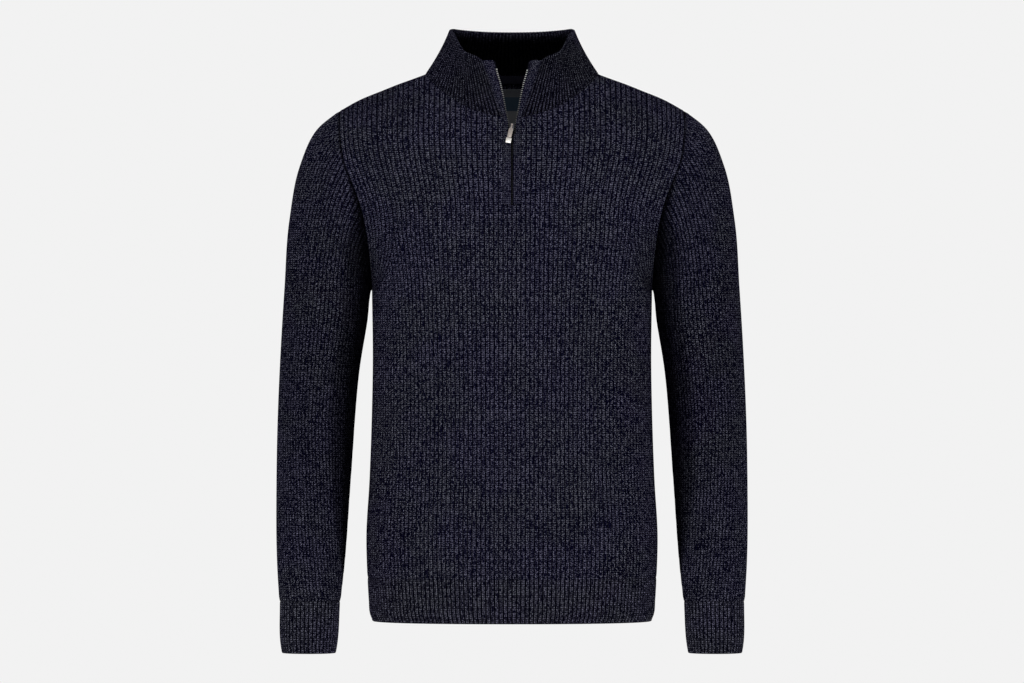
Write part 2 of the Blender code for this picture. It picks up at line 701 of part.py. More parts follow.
def build_collar():
    """The stand collar, open at the front; its top edge turns in to the middle of the wall."""
    thick = COLLAR_WALL + RIB
    front_count = int(round(COLLAR_RIBS * COLLAR_FRONT_SHARE))
    back_count = COLLAR_RIBS - front_count
    fine = (np.linspace(0, 1, front_count + 1), np.linspace(0, 1, back_count + 1))
    plain = (np.linspace(0, 1, INSIDE_NECK_STRIPS + 1), np.linspace(0, 1, INSIDE_NECK_STRIPS + 1))
    heights = (0.0, COLLAR_TURN)
    walls = []
    for shares in (fine, plain):
        grid = collar_grid(*shares, heights)
        normals = outward(grid)
        normals[0] = unit(neck_lean(grid[0]) + np.array([0.0, 0.0, COLLAR_RIM_RISE]))
        grid[0] += unit(grid[1] - grid[0]) * COLLAR_GAP
        walls.append((grid, normals))
    (crest, normals), (inner_crest, inner_normals) = walls
    top = collar_grid(*fine, (1.0,))[0]
    edge = top - normals[-1] * thick / 2
    outer = np.concatenate([ribbed(crest, normals), edge[None]])
    inner = inner_crest - inner_normals * thick
    cloth = Cloth()
    a, b = cloth.place(outer), cloth.place(inner)
    cloth.sheet(a)
    cloth.sheet(b)
    at = []
    for front, back in (fine, plain):
        half = np.concatenate([front[:-1], 1 + back])
        at.append(np.concatenate([half, 4 - half[::-1][1:]]))
    cloth.stitch(a[0], b[0], at[0], at[1])
    cloth.stitch(a[-1], b[-1], at[0], at[1])
    for column in (0, -1):
        cloth.stitch(a[:, column], b[:, column], (0, 1, 2), (0, 1.5))
    cloth.build("collar", NAVY)


def front_edge(edge_points, z):
    """Where the strips begin: the slot's edge, then the collar's front end."""
    return np.array([np.interp(z, edge_points[:, 2], edge_points[:, k]) for k in range(3)])


def strip_sections(edge_points, inner_lap, outer_trim):
    """For each row of the strip table: its outer edge, its inner edge and the way out."""
    sections = []
    for z, inner_x in zip(STRIP["z"], STRIP["inner"]):
        outer = front_edge(edge_points, z)
        below = front_edge(edge_points, z - 2)
        above = front_edge(edge_points, z + 2)
        width = outer[0] - inner_x
        slope = np.interp(outer[0], (SLOT_HALF, COLLAR_TOP_FRONT["x"][0]), STRIP_FORWARD)
        inner = np.array([inner_x, outer[1] - width * slope, z])
        across = unit(inner - outer)
        out = unit(np.cross(unit(above - below), across))
        out = out if out[1] < 0 else -out
        inner_end = inner + across * inner_lap
        inner_end[0] = max(inner_end[0], SEAM_GAP)
        sections.append((outer + across * outer_trim, inner_end, out))
    return sections


def build_strip(name, side, sections, front, back, crown, finish):
    """A closed strip along the zip: front and back faces at two heights off the cloth."""
    rings = []
    for outer, inner, out in sections:
        middle = (outer + inner) / 2
        rings.append([outer + out * front, middle + out * (front + crown), inner + out * front,
                      inner + out * back, middle + out * back, outer + out * back])
    flip = np.array([side, 1.0, 1.0])
    cloth = Cloth()
    index = cloth.place(np.array(rings) * flip)
    cloth.sheet(np.concatenate([index, index[:, :1]], axis=1))
    for end in (index[0], index[-1]):
        cloth.faces += [(end[0], end[1], end[5]), (end[1], end[4], end[5]),
                        (end[1], end[2], end[4]), (end[2], end[3], end[4])]
    cloth.build(name, finish)


def front_edge_points():
    """The slot's left edge on the front panel, joined to the collar's front end."""
    slot_row = PANEL_LEVELS.index(SLOT_BOTTOM)
    edge = half_panel("front", np.array([0.0]), PANEL_NECK_SHARE)[slot_row:, 0]
    top = np.array([COLLAR_TOP_FRONT[k][0] for k in "xyz"])
    return np.concatenate([edge, [top]])


def build_strips_and_tapes():
    """Both strips and both tapes; returns the edge that they follow."""
    edge = front_edge_points()
    strip = strip_sections(edge, 0.0, STRIP_GAP)
    tape = strip_sections(edge, TAPE_LAP, TAPE_TRIM)
    tape_front = STRIP_PROUD - STRIP_THICK - TAPE_SET_BACK
    for name, side in (("left", 1), ("right", -1)):
        build_strip("placket_" + name, side, strip, STRIP_PROUD, STRIP_PROUD - STRIP_THICK,
                    STRIP_CROWN, NAVY_TRIM)
        build_strip("zip_tape_" + name, side, tape, tape_front, tape_front - TAPE_THICK,
                    0.0, TAPE_CLOTH)
    return edge


def slider_frame(edge):
    """Where the slider lies: local X across, Y up the front and Z out of it."""
    middle = front_edge(edge, SLIDER_HEIGHT)
    middle[0] = 0
    up = front_edge(edge, SLIDER_HEIGHT + 3) - front_edge(edge, SLIDER_HEIGHT - 3)
    up[0] = 0
    up = unit(up)
    out = np.cross((1.0, 0.0, 0.0), up)
    turn = Matrix((Vector((1, 0, 0)), Vector(up), Vector(out))).transposed().to_4x4()
    return Matrix.Translation(Vector(middle) * MM) @ turn


def box_mesh(name, size, middle, bevel=0.0):
    """A box of the given size about a middle point, with its edges softened."""
    work = bmesh.new()
    bmesh.ops.create_cube(work, size=1.0)
    for vertex in work.verts:
        vertex.co = Vector([vertex.co[k] * size[k] + middle[k] for k in range(3)])
    if bevel:
        bmesh.ops.bevel(work, geom=work.edges, offset=bevel, segments=1, affect="EDGES")
    return mesh_from(work, name)


def rod_mesh(name, radius, length, middle):
    """A round rod along X."""
    work = bmesh.new()
    bmesh.ops.create_cone(work, cap_ends=True, segments=14, radius1=radius, radius2=radius,
                          depth=length)
    turn = Matrix.Rotation(math.pi / 2, 4, "Y")
    bmesh.ops.transform(work, matrix=Matrix.Translation(Vector(middle)) @ turn,
                        verts=work.verts)
    return mesh_from(work, name)


def ring_mesh(name, radius, hole, width):
    """A ring about the X axis."""
    turn = np.linspace(0, 2 * math.pi, 20, endpoint=False)
    profile = ((hole, -width / 2), (radius, -width / 2), (radius, width / 2), (hole, width / 2))
    points = [(x, r * math.cos(a), r * math.sin(a)) for a in turn for r, x in profile]
    faces = []
    for i in range(len(turn)):
        for k in range(4):
            here, there = 4 * i, 4 * ((i + 1) % len(turn))
            faces.append((here + k, here + (k + 1) % 4, there + (k + 1) % 4, there + k))
    mesh = bpy.data.meshes.new(name)
    mesh.from_pydata(points, [], faces)
    work = bmesh.new()
    work.from_mesh(mesh)
    bmesh.ops.recalc_face_normals(work, faces=work.faces)
    work.to_mesh(mesh)
    work.free()
    return mesh


def plate_mesh(name, outline, thick):
    """A flat plate from its outline in the XY plane."""
    work = bmesh.new()
    corners = [work.verts.new((x, y, -thick / 2)) for x, y in outline]
    face = work.faces.new(corners)
    raised = bmesh.ops.extrude_face_region(work, geom=[face])["geom"]
    top = [v for v in raised if isinstance(v, bmesh.types.BMVert)]
    bmesh.ops.translate(work, verts=top, vec=Vector((0, 0, thick)))
    return mesh_from(work, name)


def mesh_from(work, name):
    """Close a bmesh into a mesh with its faces pointing out."""
    bmesh.ops.recalc_face_normals(work, faces=work.faces)
    mesh = bpy.data.meshes.new(name)
    work.to_mesh(mesh)
    work.free()
    return mesh


def united(name, meshes, place, finish):
    """One object, the union of several meshes that overlap each other, made in millimetres."""
    scene = bpy.context.scene.collection.objects
    pieces = [bpy.data.objects.new(mesh.name, mesh) for mesh in meshes]
    for piece in pieces:
        scene.link(piece)
    body = pieces[0]
    for extra in pieces[1:]:
        union = body.modifiers.new(extra.name, "BOOLEAN")
        union.operation = "UNION"
        union.solver = "EXACT"
        union.object = extra
    seen = body.evaluated_get(bpy.context.evaluated_depsgraph_get())
    work = bmesh.new()
    work.from_mesh(seen.to_mesh())
    seen.to_mesh_clear()
    bmesh.ops.remove_doubles(work, verts=work.verts, dist=0.001)
    bmesh.ops.triangulate(work, faces=work.faces)
    bmesh.ops.scale(work, vec=(MM, MM, MM), verts=work.verts)
    mesh = mesh_from(work, name)
    for piece in pieces:
        bpy.data.objects.remove(piece)
    mesh.shade_smooth()
    mesh.set_sharp_from_angle(angle=math.radians(SHARP_ANGLE))
    mesh.materials.append(material(name, *finish))
    made = bpy.data.objects.new(name, mesh)
    scene.link(made)
    made.matrix_world = place
    return made


def build_slider(place):
    """The slider's body with two lugs and the pin between them."""
    face = SLIDER_SIZE[2] + SLIDER_BACK
    pin = (0.0, PIN_ALONG, face + PIN_LIFT)
    middle = (0, 0, SLIDER_BACK + SLIDER_SIZE[2] / 2)
    meshes = [box_mesh("slider_body", SLIDER_SIZE, middle, SLIDER_BEVEL)]
    for side in (-1, 1):
        middle = (side * LUG_SPACING / 2, PIN_ALONG, face + LUG_SIZE[2] / 2 - LUG_SINK)
        meshes.append(box_mesh("slider_lug", LUG_SIZE, middle, LUG_BEVEL))
    meshes.append(rod_mesh("slider_pin", PIN_RADIUS, LUG_SPACING, pin))
    united("zip_slider", meshes, place, METAL)
    return pin


def leaning(width, start, end):
    """A rectangle down the tab's middle line, which leans across the front."""
    lean = math.radians(PULL_LEAN)
    down = Vector((-math.sin(lean), -math.cos(lean)))
    side = Vector((math.cos(lean), -math.sin(lean))) * width / 2
    corners = (down * start + side, down * start - side, down * end - side, down * end + side)
    return [tuple(c) for c in corners]


def build_pull(place, pin):
    """The pull tab: an eye on the pin, a neck, a plate and a thicker end block."""
    meshes = [
        ring_mesh("pull_eye", EYE_RADIUS, EYE_HOLE, EYE_WIDTH),
        plate_mesh("pull_neck", leaning(PULL_NECK[0], PULL_START, PULL_NECK[1]),
                   PULL_NECK_THICK),
        plate_mesh("pull_plate", leaning(PULL_BODY[0], PULL_NECK[1] - PULL_LAP, PULL_BODY[1]),
                   PULL_THICK),
        plate_mesh("pull_block", leaning(PULL_BLOCK[0], PULL_BODY[1] - PULL_LAP, PULL_BLOCK[1]),
                   PULL_BLOCK_THICK)]
    hang = place @ Matrix.Translation(Vector(pin) * MM)
    united("zip_pull", meshes, hang, METAL)


def inside_point(inner, row, column):
    """A point of the back's plain inside, and the way in from it, between its own points."""
    rows, columns = inner.shape[:2]
    r, c = min(int(row), rows - 2), min(int(column), columns - 2)
    fr, fc = row - r, column - c
    low = inner[r, c] * (1 - fc) + inner[r, c + 1] * fc
    high = inner[r + 1, c] * (1 - fc) + inner[r + 1, c + 1] * fc
    across = inner[r, c + 1] - inner[r, c]
    up = inner[r + 1, c] - inner[r, c]
    inward = unit(np.cross(up, across))
    inward = inward if inward[1] < 0 else -inward
    return low * (1 - fr) + high * fr, inward


def build_inside_trim(name, inner, rows, columns, finish):
    """A thin piece on the inside of the back, from its points moved in."""
    grid = np.array([[inside_point(inner, row, column) for column in columns] for row in rows])
    points, ways = grid[:, :, 0], grid[:, :, 1]
    cloth = Cloth()
    near = cloth.place(points + ways * TRIM_GAP)
    far = cloth.place(points + ways * (TRIM_GAP + TRIM_THICK))
    for index in (near, far):
        cloth.sheet(index)
    row_at, column_at = np.arange(len(rows)), np.arange(len(columns))
    for row in (0, -1):
        cloth.stitch(near[row], far[row], column_at, column_at)
    for column in (0, -1):
        cloth.stitch(near[:, column], far[:, column], row_at, row_at)
    cloth.build(name, finish)


def row_at_height(inner, column, z):
    """The place between the rows where a column of the inside reaches a height."""
    return float(np.interp(z, inner[:, column, 2], np.arange(len(inner))))


def build_neck_trim(inner):
    """The tape under the back neck seam and the bare label below it."""
    middle = inner.shape[1] // 2
    top = len(inner) - 1
    drop = np.linalg.norm(inner[top, middle] - inner[top - 1, middle])
    tape_rows = (top - NECK_TAPE_DROP / drop, top - NECK_TAPE_TOP / drop)
    reach = INSIDE_NECK_STRIPS - 1
    tape_columns = np.arange(middle - reach, middle + reach + 1)
    build_inside_trim("neck_tape", inner, tape_rows, tape_columns, TAPE_CLOTH)
    strip = abs(inner[top - 1, middle + 1, 0] - inner[top - 1, middle, 0])
    half = LABEL_HALF_WIDTH / strip
    label_columns = (middle - half, middle - 1, middle, middle + 1, middle + half)
    label_rows = (row_at_height(inner, middle, LABEL_BOTTOM), top - 1,
                  row_at_height(inner, middle, LABEL_TOP))
    build_inside_trim("neck_label", inner, label_rows, label_columns, LABEL_CLOTH)


def clear_scene():
    """Remove every object that is in the scene."""
    for piece in list(bpy.data.objects):
        bpy.data.objects.remove(piece)


def main():
    clear_scene()
    build_front()
    back_inner = build_back()
    for face in ("front", "back"):
        build_hem(face)
    side_edge = np.array([1.0])
    edges = {face: half_panel(face, side_edge, PANEL_NECK_SHARE)[:, 0] for face in ("front", "back")}
    for name, side in (("sleeve_left", 1), ("sleeve_right", -1)):
        build_sleeve(name, side, edges)
    for name, side in (("cuff_left", 1), ("cuff_right", -1)):
        build_cuff(name, side)
    build_collar()
    edge = build_strips_and_tapes()
    place = slider_frame(edge)
    pin = build_slider(place)
    build_pull(place, pin)
    build_neck_trim(back_inner)


main()
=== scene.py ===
import math

import bmesh
import bpy
import numpy as np
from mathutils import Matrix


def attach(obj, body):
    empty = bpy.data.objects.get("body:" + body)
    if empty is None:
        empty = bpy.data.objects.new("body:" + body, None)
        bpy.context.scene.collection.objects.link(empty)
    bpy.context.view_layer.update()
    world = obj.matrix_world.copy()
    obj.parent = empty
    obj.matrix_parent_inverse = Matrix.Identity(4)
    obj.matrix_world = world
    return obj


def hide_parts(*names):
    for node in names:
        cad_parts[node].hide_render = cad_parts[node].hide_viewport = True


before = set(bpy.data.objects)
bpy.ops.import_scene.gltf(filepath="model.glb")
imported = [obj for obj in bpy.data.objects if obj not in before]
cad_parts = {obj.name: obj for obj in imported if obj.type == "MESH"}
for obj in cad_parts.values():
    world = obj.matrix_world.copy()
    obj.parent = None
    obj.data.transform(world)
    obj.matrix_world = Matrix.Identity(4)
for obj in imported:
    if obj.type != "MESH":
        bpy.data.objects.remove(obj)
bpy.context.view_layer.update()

# Sizes are in millimetres and mm turns them into metres when a mesh is made.
# +X is the wearer's left, the front faces -Y, and z = 0 is at the high points of the shoulders.
mm = 0.001


def sizeTable(names, *rows):
    # one array for each named column
    values = np.array(rows, dtype=float)
    return {name: values[:, i] for i, name in enumerate(names.split())}


# The cut, with the same sizes as the solids.

cloth = {
    "wall": 3.2,            # a panel from crest to inside
    "bandWall": 3.4,
    "collarWall": 4.4,
    "squareness": 2.35,     # exponent of the body's squared oval
    "crest": 0.62,          # exponent of a rib's round: the lower, the broader its crest
    "slotHalf": 10.8,       # half the width left for the zip and its strips
    "neckMiddle": -8.0,     # y of the neck's middle
    "neckLift": 0.35,       # how far the neck's sewn edges face up
    "seamDip": 1.25,        # how deep a sewn edge sinks
    "seamReach": 2.2,       # how far from the edge the dip is felt
    "seamShade": 0.2,
    "flatSeam": 0.54,       # share of the dip at the hem's, cuffs' and neck's seams
    "insideShade": 0.30,
    "bandCrowding": 1.2,    # how the rows of hem, cuffs and collar crowd at their seams
}

heights = {
    "hemBottom": -678.0, "hemTurn": -675.4, "hemSeam": -624.0, "armpit": -269.0,
    "slotBottom": -165.0, "chest": -112.0, "yoke": -79.0,
    "cuffSeam": -652.0, "cuffTurn": -714.0, "cuffBottom": -716.5,
}

body = sizeTable(
    "z side",
    (-678, 172.5), (-669.5, 176), (-652, 177.6), (-624, 179.2), (-575, 180.6),
    (-503, 176.7), (-430, 174), (-355, 172.6), (-269, 173.6))
centre = sizeTable(
    "z front back",
    (-678, 104, 103), (-669.5, 107.5, 106.5), (-652, 110, 108.5), (-624, 113, 110),
    (-575, 115, 110), (-503, 114, 108), (-430, 115, 111), (-355, 120, 119),
    (-269, 127, 127), (-215, 129.5, 132), (-160, 126, 133), (-117, 116, 128),
    (-79, 98, 117))
armhole = sizeTable(
    "z x front back",
    (-269, 173.6, 0, 0), (-252, 174.4, 27, 29), (-225, 176.3, 52, 56), (-196, 180, 68, 73),
    (-165, 186.5, 75.5, 81), (-135, 197.5, 75.5, 81), (-108, 207.5, 68.5, 74),
    (-79, 212, 51.5, 57), (-57, 213, 29.5, 32), (-45, 213.4, 0, 0))
neckFront = sizeTable(
    "x y z",
    (10.8, -85.5, -56), (30, -80.5, -52), (46, -74, -47), (61, -66, -40),
    (77, -53.5, -30), (92, -36, -18), (102, -19, -8), (108, 0, 0))
neckBack = sizeTable(
    "x y z",
    (0, 66, 3), (28, 64, 3), (52, 58, 2.8), (76, 46.5, 2.4), (94, 30, 1.6), (104, 15, 0.8),
    (108, 0, 0))
shoulder = sizeTable(
    "x y z",
    (108, 0, 0), (121.5, 0, -5), (141, 0, -12), (161, 0, -20), (190, 0, -32), (213.4, 0, -45))
sleeveCut = sizeTable(
    "outerX outerZ innerX innerZ depth forward",
    (213.4, -45, 173.6, -269, 76, 0), (242, -69, 175.2, -271.5, 76, 0),
    (263.4, -115, 176, -275.5, 74, 0), (275.9, -180, 177, -283, 70, 1),
    (282, -265, 179, -305, 65, 3), (287.8, -365, 189, -368, 56.5, 6),
    (291.6, -503, 199.5, -503, 47, 13), (290.4, -610, 207.2, -610, 39.5, 21),
    (287.8, -652, 211.8, -652, 36, 24))
cuffCut = sizeTable(
    "outerX innerX z depth forward",
    (287.2, 212.4, -652, 35.5, 24), (285.4, 216.4, -710, 31.5, 29),
    (284.2, 217.6, -716.5, 30.5, 29.5))
collarFront = sizeTable(
    "x y z",
    (37.3, -68, 15.6), (45, -64.5, 20.2), (53, -59, 23.2), (60.5, -50.5, 27.6),
    (67, -38, 38), (71.8, -23, 48.5), (77.4, 2, 56.2))
collarBack = sizeTable(
    "x y z",
    (0, 62, 54.9), (26, 59.5, 55.2), (48, 52, 56.1), (65, 38, 57.2), (74, 21, 57.7),
    (77.4, 2, 56.2))


# Curves and grids of points.

def smoothAt(knots, values, at):
    # cubic Hermite curve through the knots, each slope taken from the knots beside it
    values = np.asarray(values, dtype=float)
    at = np.clip(at, knots[0], knots[-1])
    slopes = np.gradient(values, knots, axis=0)
    i = np.clip(np.searchsorted(knots, at, side="right") - 1, 0, len(knots) - 2)
    step = knots[i + 1] - knots[i]
    f = (at - knots[i]) / step
    if values.ndim > 1:
        shape = np.shape(f) + (1,) * (values.ndim - 1)
        step, f = np.reshape(step, shape), np.reshape(f, shape)
    start = (1 + 2 * f) * (1 - f) ** 2
    return (start * values[i] + (1 - start) * values[i + 1]
            + step * f * (1 - f) * ((1 - f) * slopes[i] - f * slopes[i + 1]))


def runUp(points):
    # length from the first point along a polyline, or along each column of a grid
    steps = np.linalg.norm(np.diff(points, axis=0), axis=-1)
    return np.concatenate([np.zeros_like(steps[:1]), np.cumsum(steps, axis=0)])


def lengthOf(points):
    return runUp(points)[-1]


def rowWidths(grid):
    return lengthOf(grid.swapaxes(0, 1))


def sharesOf(points):
    # share of a polyline's length at each of its points
    run = runUp(points)
    return run / run[-1]


def stack(*parts):
    # one point, or one UV place, from each set of coordinates
    return np.stack(np.broadcast_arrays(*parts), axis=-1)


def pick(places, at, values):
    # values of a polyline, column by column, where the places reach at
    return stack(*(np.interp(at, places, column) for column in values.T))


def columnsAt(places, at, grid):
    # values of a grid where each column's own places reach at
    return np.stack([pick(places[:, k], at, grid[:, k]) for k in range(grid.shape[1])], axis=1)


def takeShares(sheet, shares, at):
    # points of every row of a sheet at that row's own shares
    return np.stack([pick(shares, at[row], sheet[row]) for row in range(len(sheet))])


def spread(points, shares):
    return pick(sharesOf(points), shares, points)


def curveOf(rows, count=240):
    knots = stack(rows["x"], rows["y"], rows["z"])
    return smoothAt(sharesOf(knots), knots, np.linspace(0, 1, count))


def rowNear(levels, z):
    return int(np.argmin(np.abs(levels - z)))


def unit(vectors):
    return vectors / np.maximum(np.linalg.norm(vectors, axis=-1, keepdims=True), 1e-9)


def fade(value, start, end):
    # 0 at start, 1 at end, with level ends
    t = np.clip((value - start) / (end - start), 0, 1)
    return t * t * (3 - 2 * t)


def fullTurn(count):
    return np.linspace(0, 2 * math.pi, count + 1)


def roundPower(value, power):
    # a power that keeps the sign, which squares the cosines and sines of a circle
    return np.sign(value) * np.abs(value) ** power


def mirrored(grid):
    return grid[:, ::-1] * [-1, 1, 1]


def wholeOf(half):
    # a half that starts at x = 0, with its mirror image before it
    return np.concatenate([mirrored(half)[:, :-1], half], axis=1)


def ribShape(ribs):
    # height of the cloth across the ribs: broad round crests and narrow valleys at whole numbers
    return np.abs(np.sin(np.pi * ribs)) ** cloth["crest"]


def dip(distance, share=1.0):
    # a sewn edge sinks softly below the crests
    return share * cloth["seamDip"] * np.exp(-(distance / cloth["seamReach"]) ** 2)


def seamShade(depth):
    # the deeper a seam sinks, the less light reaches it
    return 1 - cloth["seamShade"] * depth / cloth["seamDip"]


def addObject(name, data):
    thing = bpy.data.objects.new(name, data)
    bpy.context.scene.collection.objects.link(thing)
    return thing


meshing = {"merge": 2e-6, "degenerate": 1e-7, "sharp": 75.0}     # metres, metres and degrees


class Mesh:
    # gathers grids and rims of points, with a UV place for each, and makes one closed piece

    def __init__(self):
        self.points, self.places, self.shades, self.faces = [], [], [], {4: [], 3: []}
        self.count = 0

    def add(self, *corners):
        self.faces[len(corners)].append(stack(*corners).reshape(-1, len(corners)))

    def grid(self, points, places=(0.0, 0.0), shade=1.0):
        # one quad for each cell; shade darkens what lies in a fold or inside
        rows, columns = points.shape[:2]
        index = self.count + np.arange(rows * columns).reshape(rows, columns)
        self.points.append(points.reshape(-1, 3))
        self.places.append(np.broadcast_to(places, (rows, columns, 2)).reshape(-1, 2))
        self.shades.append(np.broadcast_to(shade, (rows, columns)).ravel())
        self.count += rows * columns
        self.add(index[:-1, :-1], index[:-1, 1:], index[1:, 1:], index[1:, :-1])
        return index

    def rim(self, fine, coarse):
        # triangles between an edge and one that has a point for every few of its own
        ratio = (len(fine) - 1) // (len(coarse) - 1)
        if ratio == 1:
            self.add(fine[:-1], fine[1:], coarse[1:], coarse[:-1])
            return
        step = np.arange(len(fine) - 1)
        self.add(fine[:-1], fine[1:], coarse[(step + ratio // 2) // ratio])
        half = np.arange(len(coarse) - 1) * ratio + (ratio + 1) // 2
        self.add(fine[half], coarse[1:], coarse[:-1])

    def wall(self, outside, inside, places, shade, flip, step, per):
        # a ribbed outside and a plain inside with fewer points, joined at both end rows
        a = self.grid(outside * [flip, 1, 1], places, shade)
        b = self.grid(inside[::step, ::per] * [flip, 1, 1], places[::step, ::per],
                      cloth["insideShade"])
        for row in (0, -1):
            self.rim(a[row], b[row])
        return a, b

    def cap(self, index):
        # each end of a folded wall closed by a fan from its first point
        for end in (index[:, 0], index[:, -1]):
            self.add(np.full(len(end) - 2, end[0]), end[1:-1], end[2:])

    def make(self, name, material, bodyName, slotName, *replaced, sharp=meshing["sharp"]):
        blocks = self.faces[4] + self.faces[3]
        mesh = bpy.data.meshes.new(name)
        mesh.from_pydata((np.concatenate(self.points) * mm).tolist(), [],
                         [face for block in blocks for face in block.tolist()])
        corners = np.concatenate([block.ravel() for block in blocks])
        layer = mesh.uv_layers.new(name="stitches")
        places = np.concatenate(self.places)[corners]
        layer.uv.foreach_set("vector", places.astype(np.float32).ravel())
        shades = mesh.attributes.new("shade", "FLOAT", "POINT")
        shades.data.foreach_set("value", np.concatenate(self.shades).astype(np.float32))
        mesh.validate()
        work = bmesh.new()
        work.from_mesh(mesh)
        bmesh.ops.remove_doubles(work, verts=work.verts, dist=meshing["merge"])
        bmesh.ops.dissolve_degenerate(work, edges=work.edges, dist=meshing["degenerate"])
        bmesh.ops.recalc_face_normals(work, faces=work.faces)
        work.to_mesh(mesh)
        work.free()
        mesh.shade_smooth()
        mesh.set_sharp_from_angle(angle=math.radians(sharp))
        mesh.materials.append(material)
        piece = addObject(name, mesh)
        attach(piece, bodyName)
        if replaced:
            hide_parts(*replaced)
        return piece


def declareCloth(piece, sheet, copies, widest=None, middle=(0.0, 0.0)):
    # what a piece was cut to: its widest row, longest column and flat area; middle is the
    # width and length of a strip between its copies
    rows, columns = np.diff(sheet, axis=0)[:, :-1], np.diff(sheet, axis=1)[:-1]
    area = np.linalg.norm(np.cross(rows, columns), axis=-1).sum() * copies + middle[0] * middle[1]
    width = (rowWidths(sheet).max() if widest is None else widest) * copies + middle[0]
    length = lengthOf(sheet).max()
    print(f"{piece.name}: cut {width:.0f} x {length:.0f} mm, {area * mm ** 2:.4f} m2")


# Materials.

class Recipe:
    # short names for adding nodes to one material, or to the world

    def __init__(self, name, store="materials"):
        self.owner = getattr(bpy.data, store).new(name)
        self.owner.use_nodes = True
        self.tree = self.owner.node_tree

    def feed(self, node, inputs):
        # values or sockets for a node's inputs, by name or number, or else in their order
        for key, value in inputs.items() if isinstance(inputs, dict) else enumerate(inputs):
            if isinstance(value, bpy.types.NodeSocket):
                self.tree.links.new(value, node.inputs[key])
            else:
                isColour = isinstance(value, tuple)
                node.inputs[key].default_value = (*value, 1.0) if isColour else value

    def add(self, kind, inputs=(), **settings):
        node = self.tree.nodes.new("ShaderNode" + kind)
        for key, value in settings.items():
            setattr(node, key, value)
        self.feed(node, inputs)
        return node.outputs

    def math(self, operation, *values):
        return self.add("Math", values, operation=operation)[0]

    def times(self, first, second):
        return self.math("MULTIPLY", first, second)

    def hump(self, value):
        # rises from 0 to 1 and falls back between two whole numbers
        return self.math("SINE", self.times(self.math("FRACT", value), math.pi))

    def range(self, value, low, high, toLow=0.0, toHigh=1.0, kind="SMOOTHSTEP"):
        return self.add("MapRange", (value, low, high, toLow, toHigh), interpolation_type=kind)[0]

    def vector(self, x, y, z=0.0):
        return self.add("CombineXYZ", (x, y, z))[0]

    def split(self, vector):
        return self.add("SeparateXYZ", (vector,))

    def uv(self):
        return self.split(self.add("UVMap", uv_map="stitches")[0])[:2]

    def place(self):
        return self.add("TexCoord")["Object"]

    def noise(self, vector, scale, detail=2.0):
        return self.add("TexNoise", {"Vector": vector, "Scale": scale, "Detail": detail})["Fac"]

    def dice(self, vector):
        # one random number for each whole-number cell
        return self.add("TexWhiteNoise", {"Vector": vector}, noise_dimensions="3D")["Value"]

    def mix(self, share, first, second, blend="MIX"):
        inputs = {0: share, 6: first, 7: second}
        return self.add("Mix", inputs, data_type="RGBA", blend_type=blend)[2]

    def shade(self, colour):
        # painted shade: the mesh's own shade attribute darkens the colour of folds, seams and
        # insides
        share = self.add("Attribute", attribute_name="shade")["Fac"]
        return self.mix(1.0, colour, self.add("CombineColor", (share,) * 3)[0], "MULTIPLY")

    def bump(self, height, distance):
        return self.add("Bump", {"Distance": distance, "Height": height})[0]

    def finish(self, colour, roughness, normal=None, metallic=0.0, specular=0.0):
        inputs = {"Base Color": colour, "Roughness": roughness, "Metallic": metallic,
                  "Specular IOR Level": specular}
        if normal is not None:
            inputs["Normal"] = normal
        self.feed(self.tree.nodes["Principled BSDF"], inputs)
        return self.owner


yarn = {
    # painted shade: near-black colour in the gaps between the stitches and in the rib valleys
    "hole": (0.0001, 0.0001, 0.0022),      # between the stitches
    "navy": (0.0022, 0.0020, 0.0110),
    "pale": (0.255, 0.255, 0.329),         # the lightest stitches of the marl
    "violet": (0.98, 0.95, 1.10),          # two casts that the yarn drifts between
    "slate": (0.99, 1.01, 0.98),
    "castScale": 16.0, "castRange": (0.35, 0.65),
    "paleRange": (0.27, 1.04),             # of the mixed chances, from no pale fibre to all of it
    "specksAcross": 5.0, "specksAlong": 2.0, "speckEdge": 0.45,
    "legChance": 0.10, "drift": 0.025,     # how far whole legs, and whole patches, differ
    "clouds": (0.12, 0.10), "streaks": (0.16, 0.9),     # of the drift, for each rib and course
    "roundness": (2.6, 1.7),               # of a stitch along its leg and across it
    "lean": 0.55,                          # courses that a stitch's leg rises
    "middle": 0.22,                        # how far up its round a leg starts at the rib's middle
    "stitchBump": 0.0006,
}
bandYarn = {**yarn, "roundness": (1.2, 2.4), "specksAlong": 1.8, "paleRange": (0.10, 1.15)}
collarYarn = {**yarn, "roundness": (1.5, 3.2), "middle": 0.28, "specksAcross": 4.0,
              "specksAlong": 1.8, "paleRange": (0.10, 1.18)}


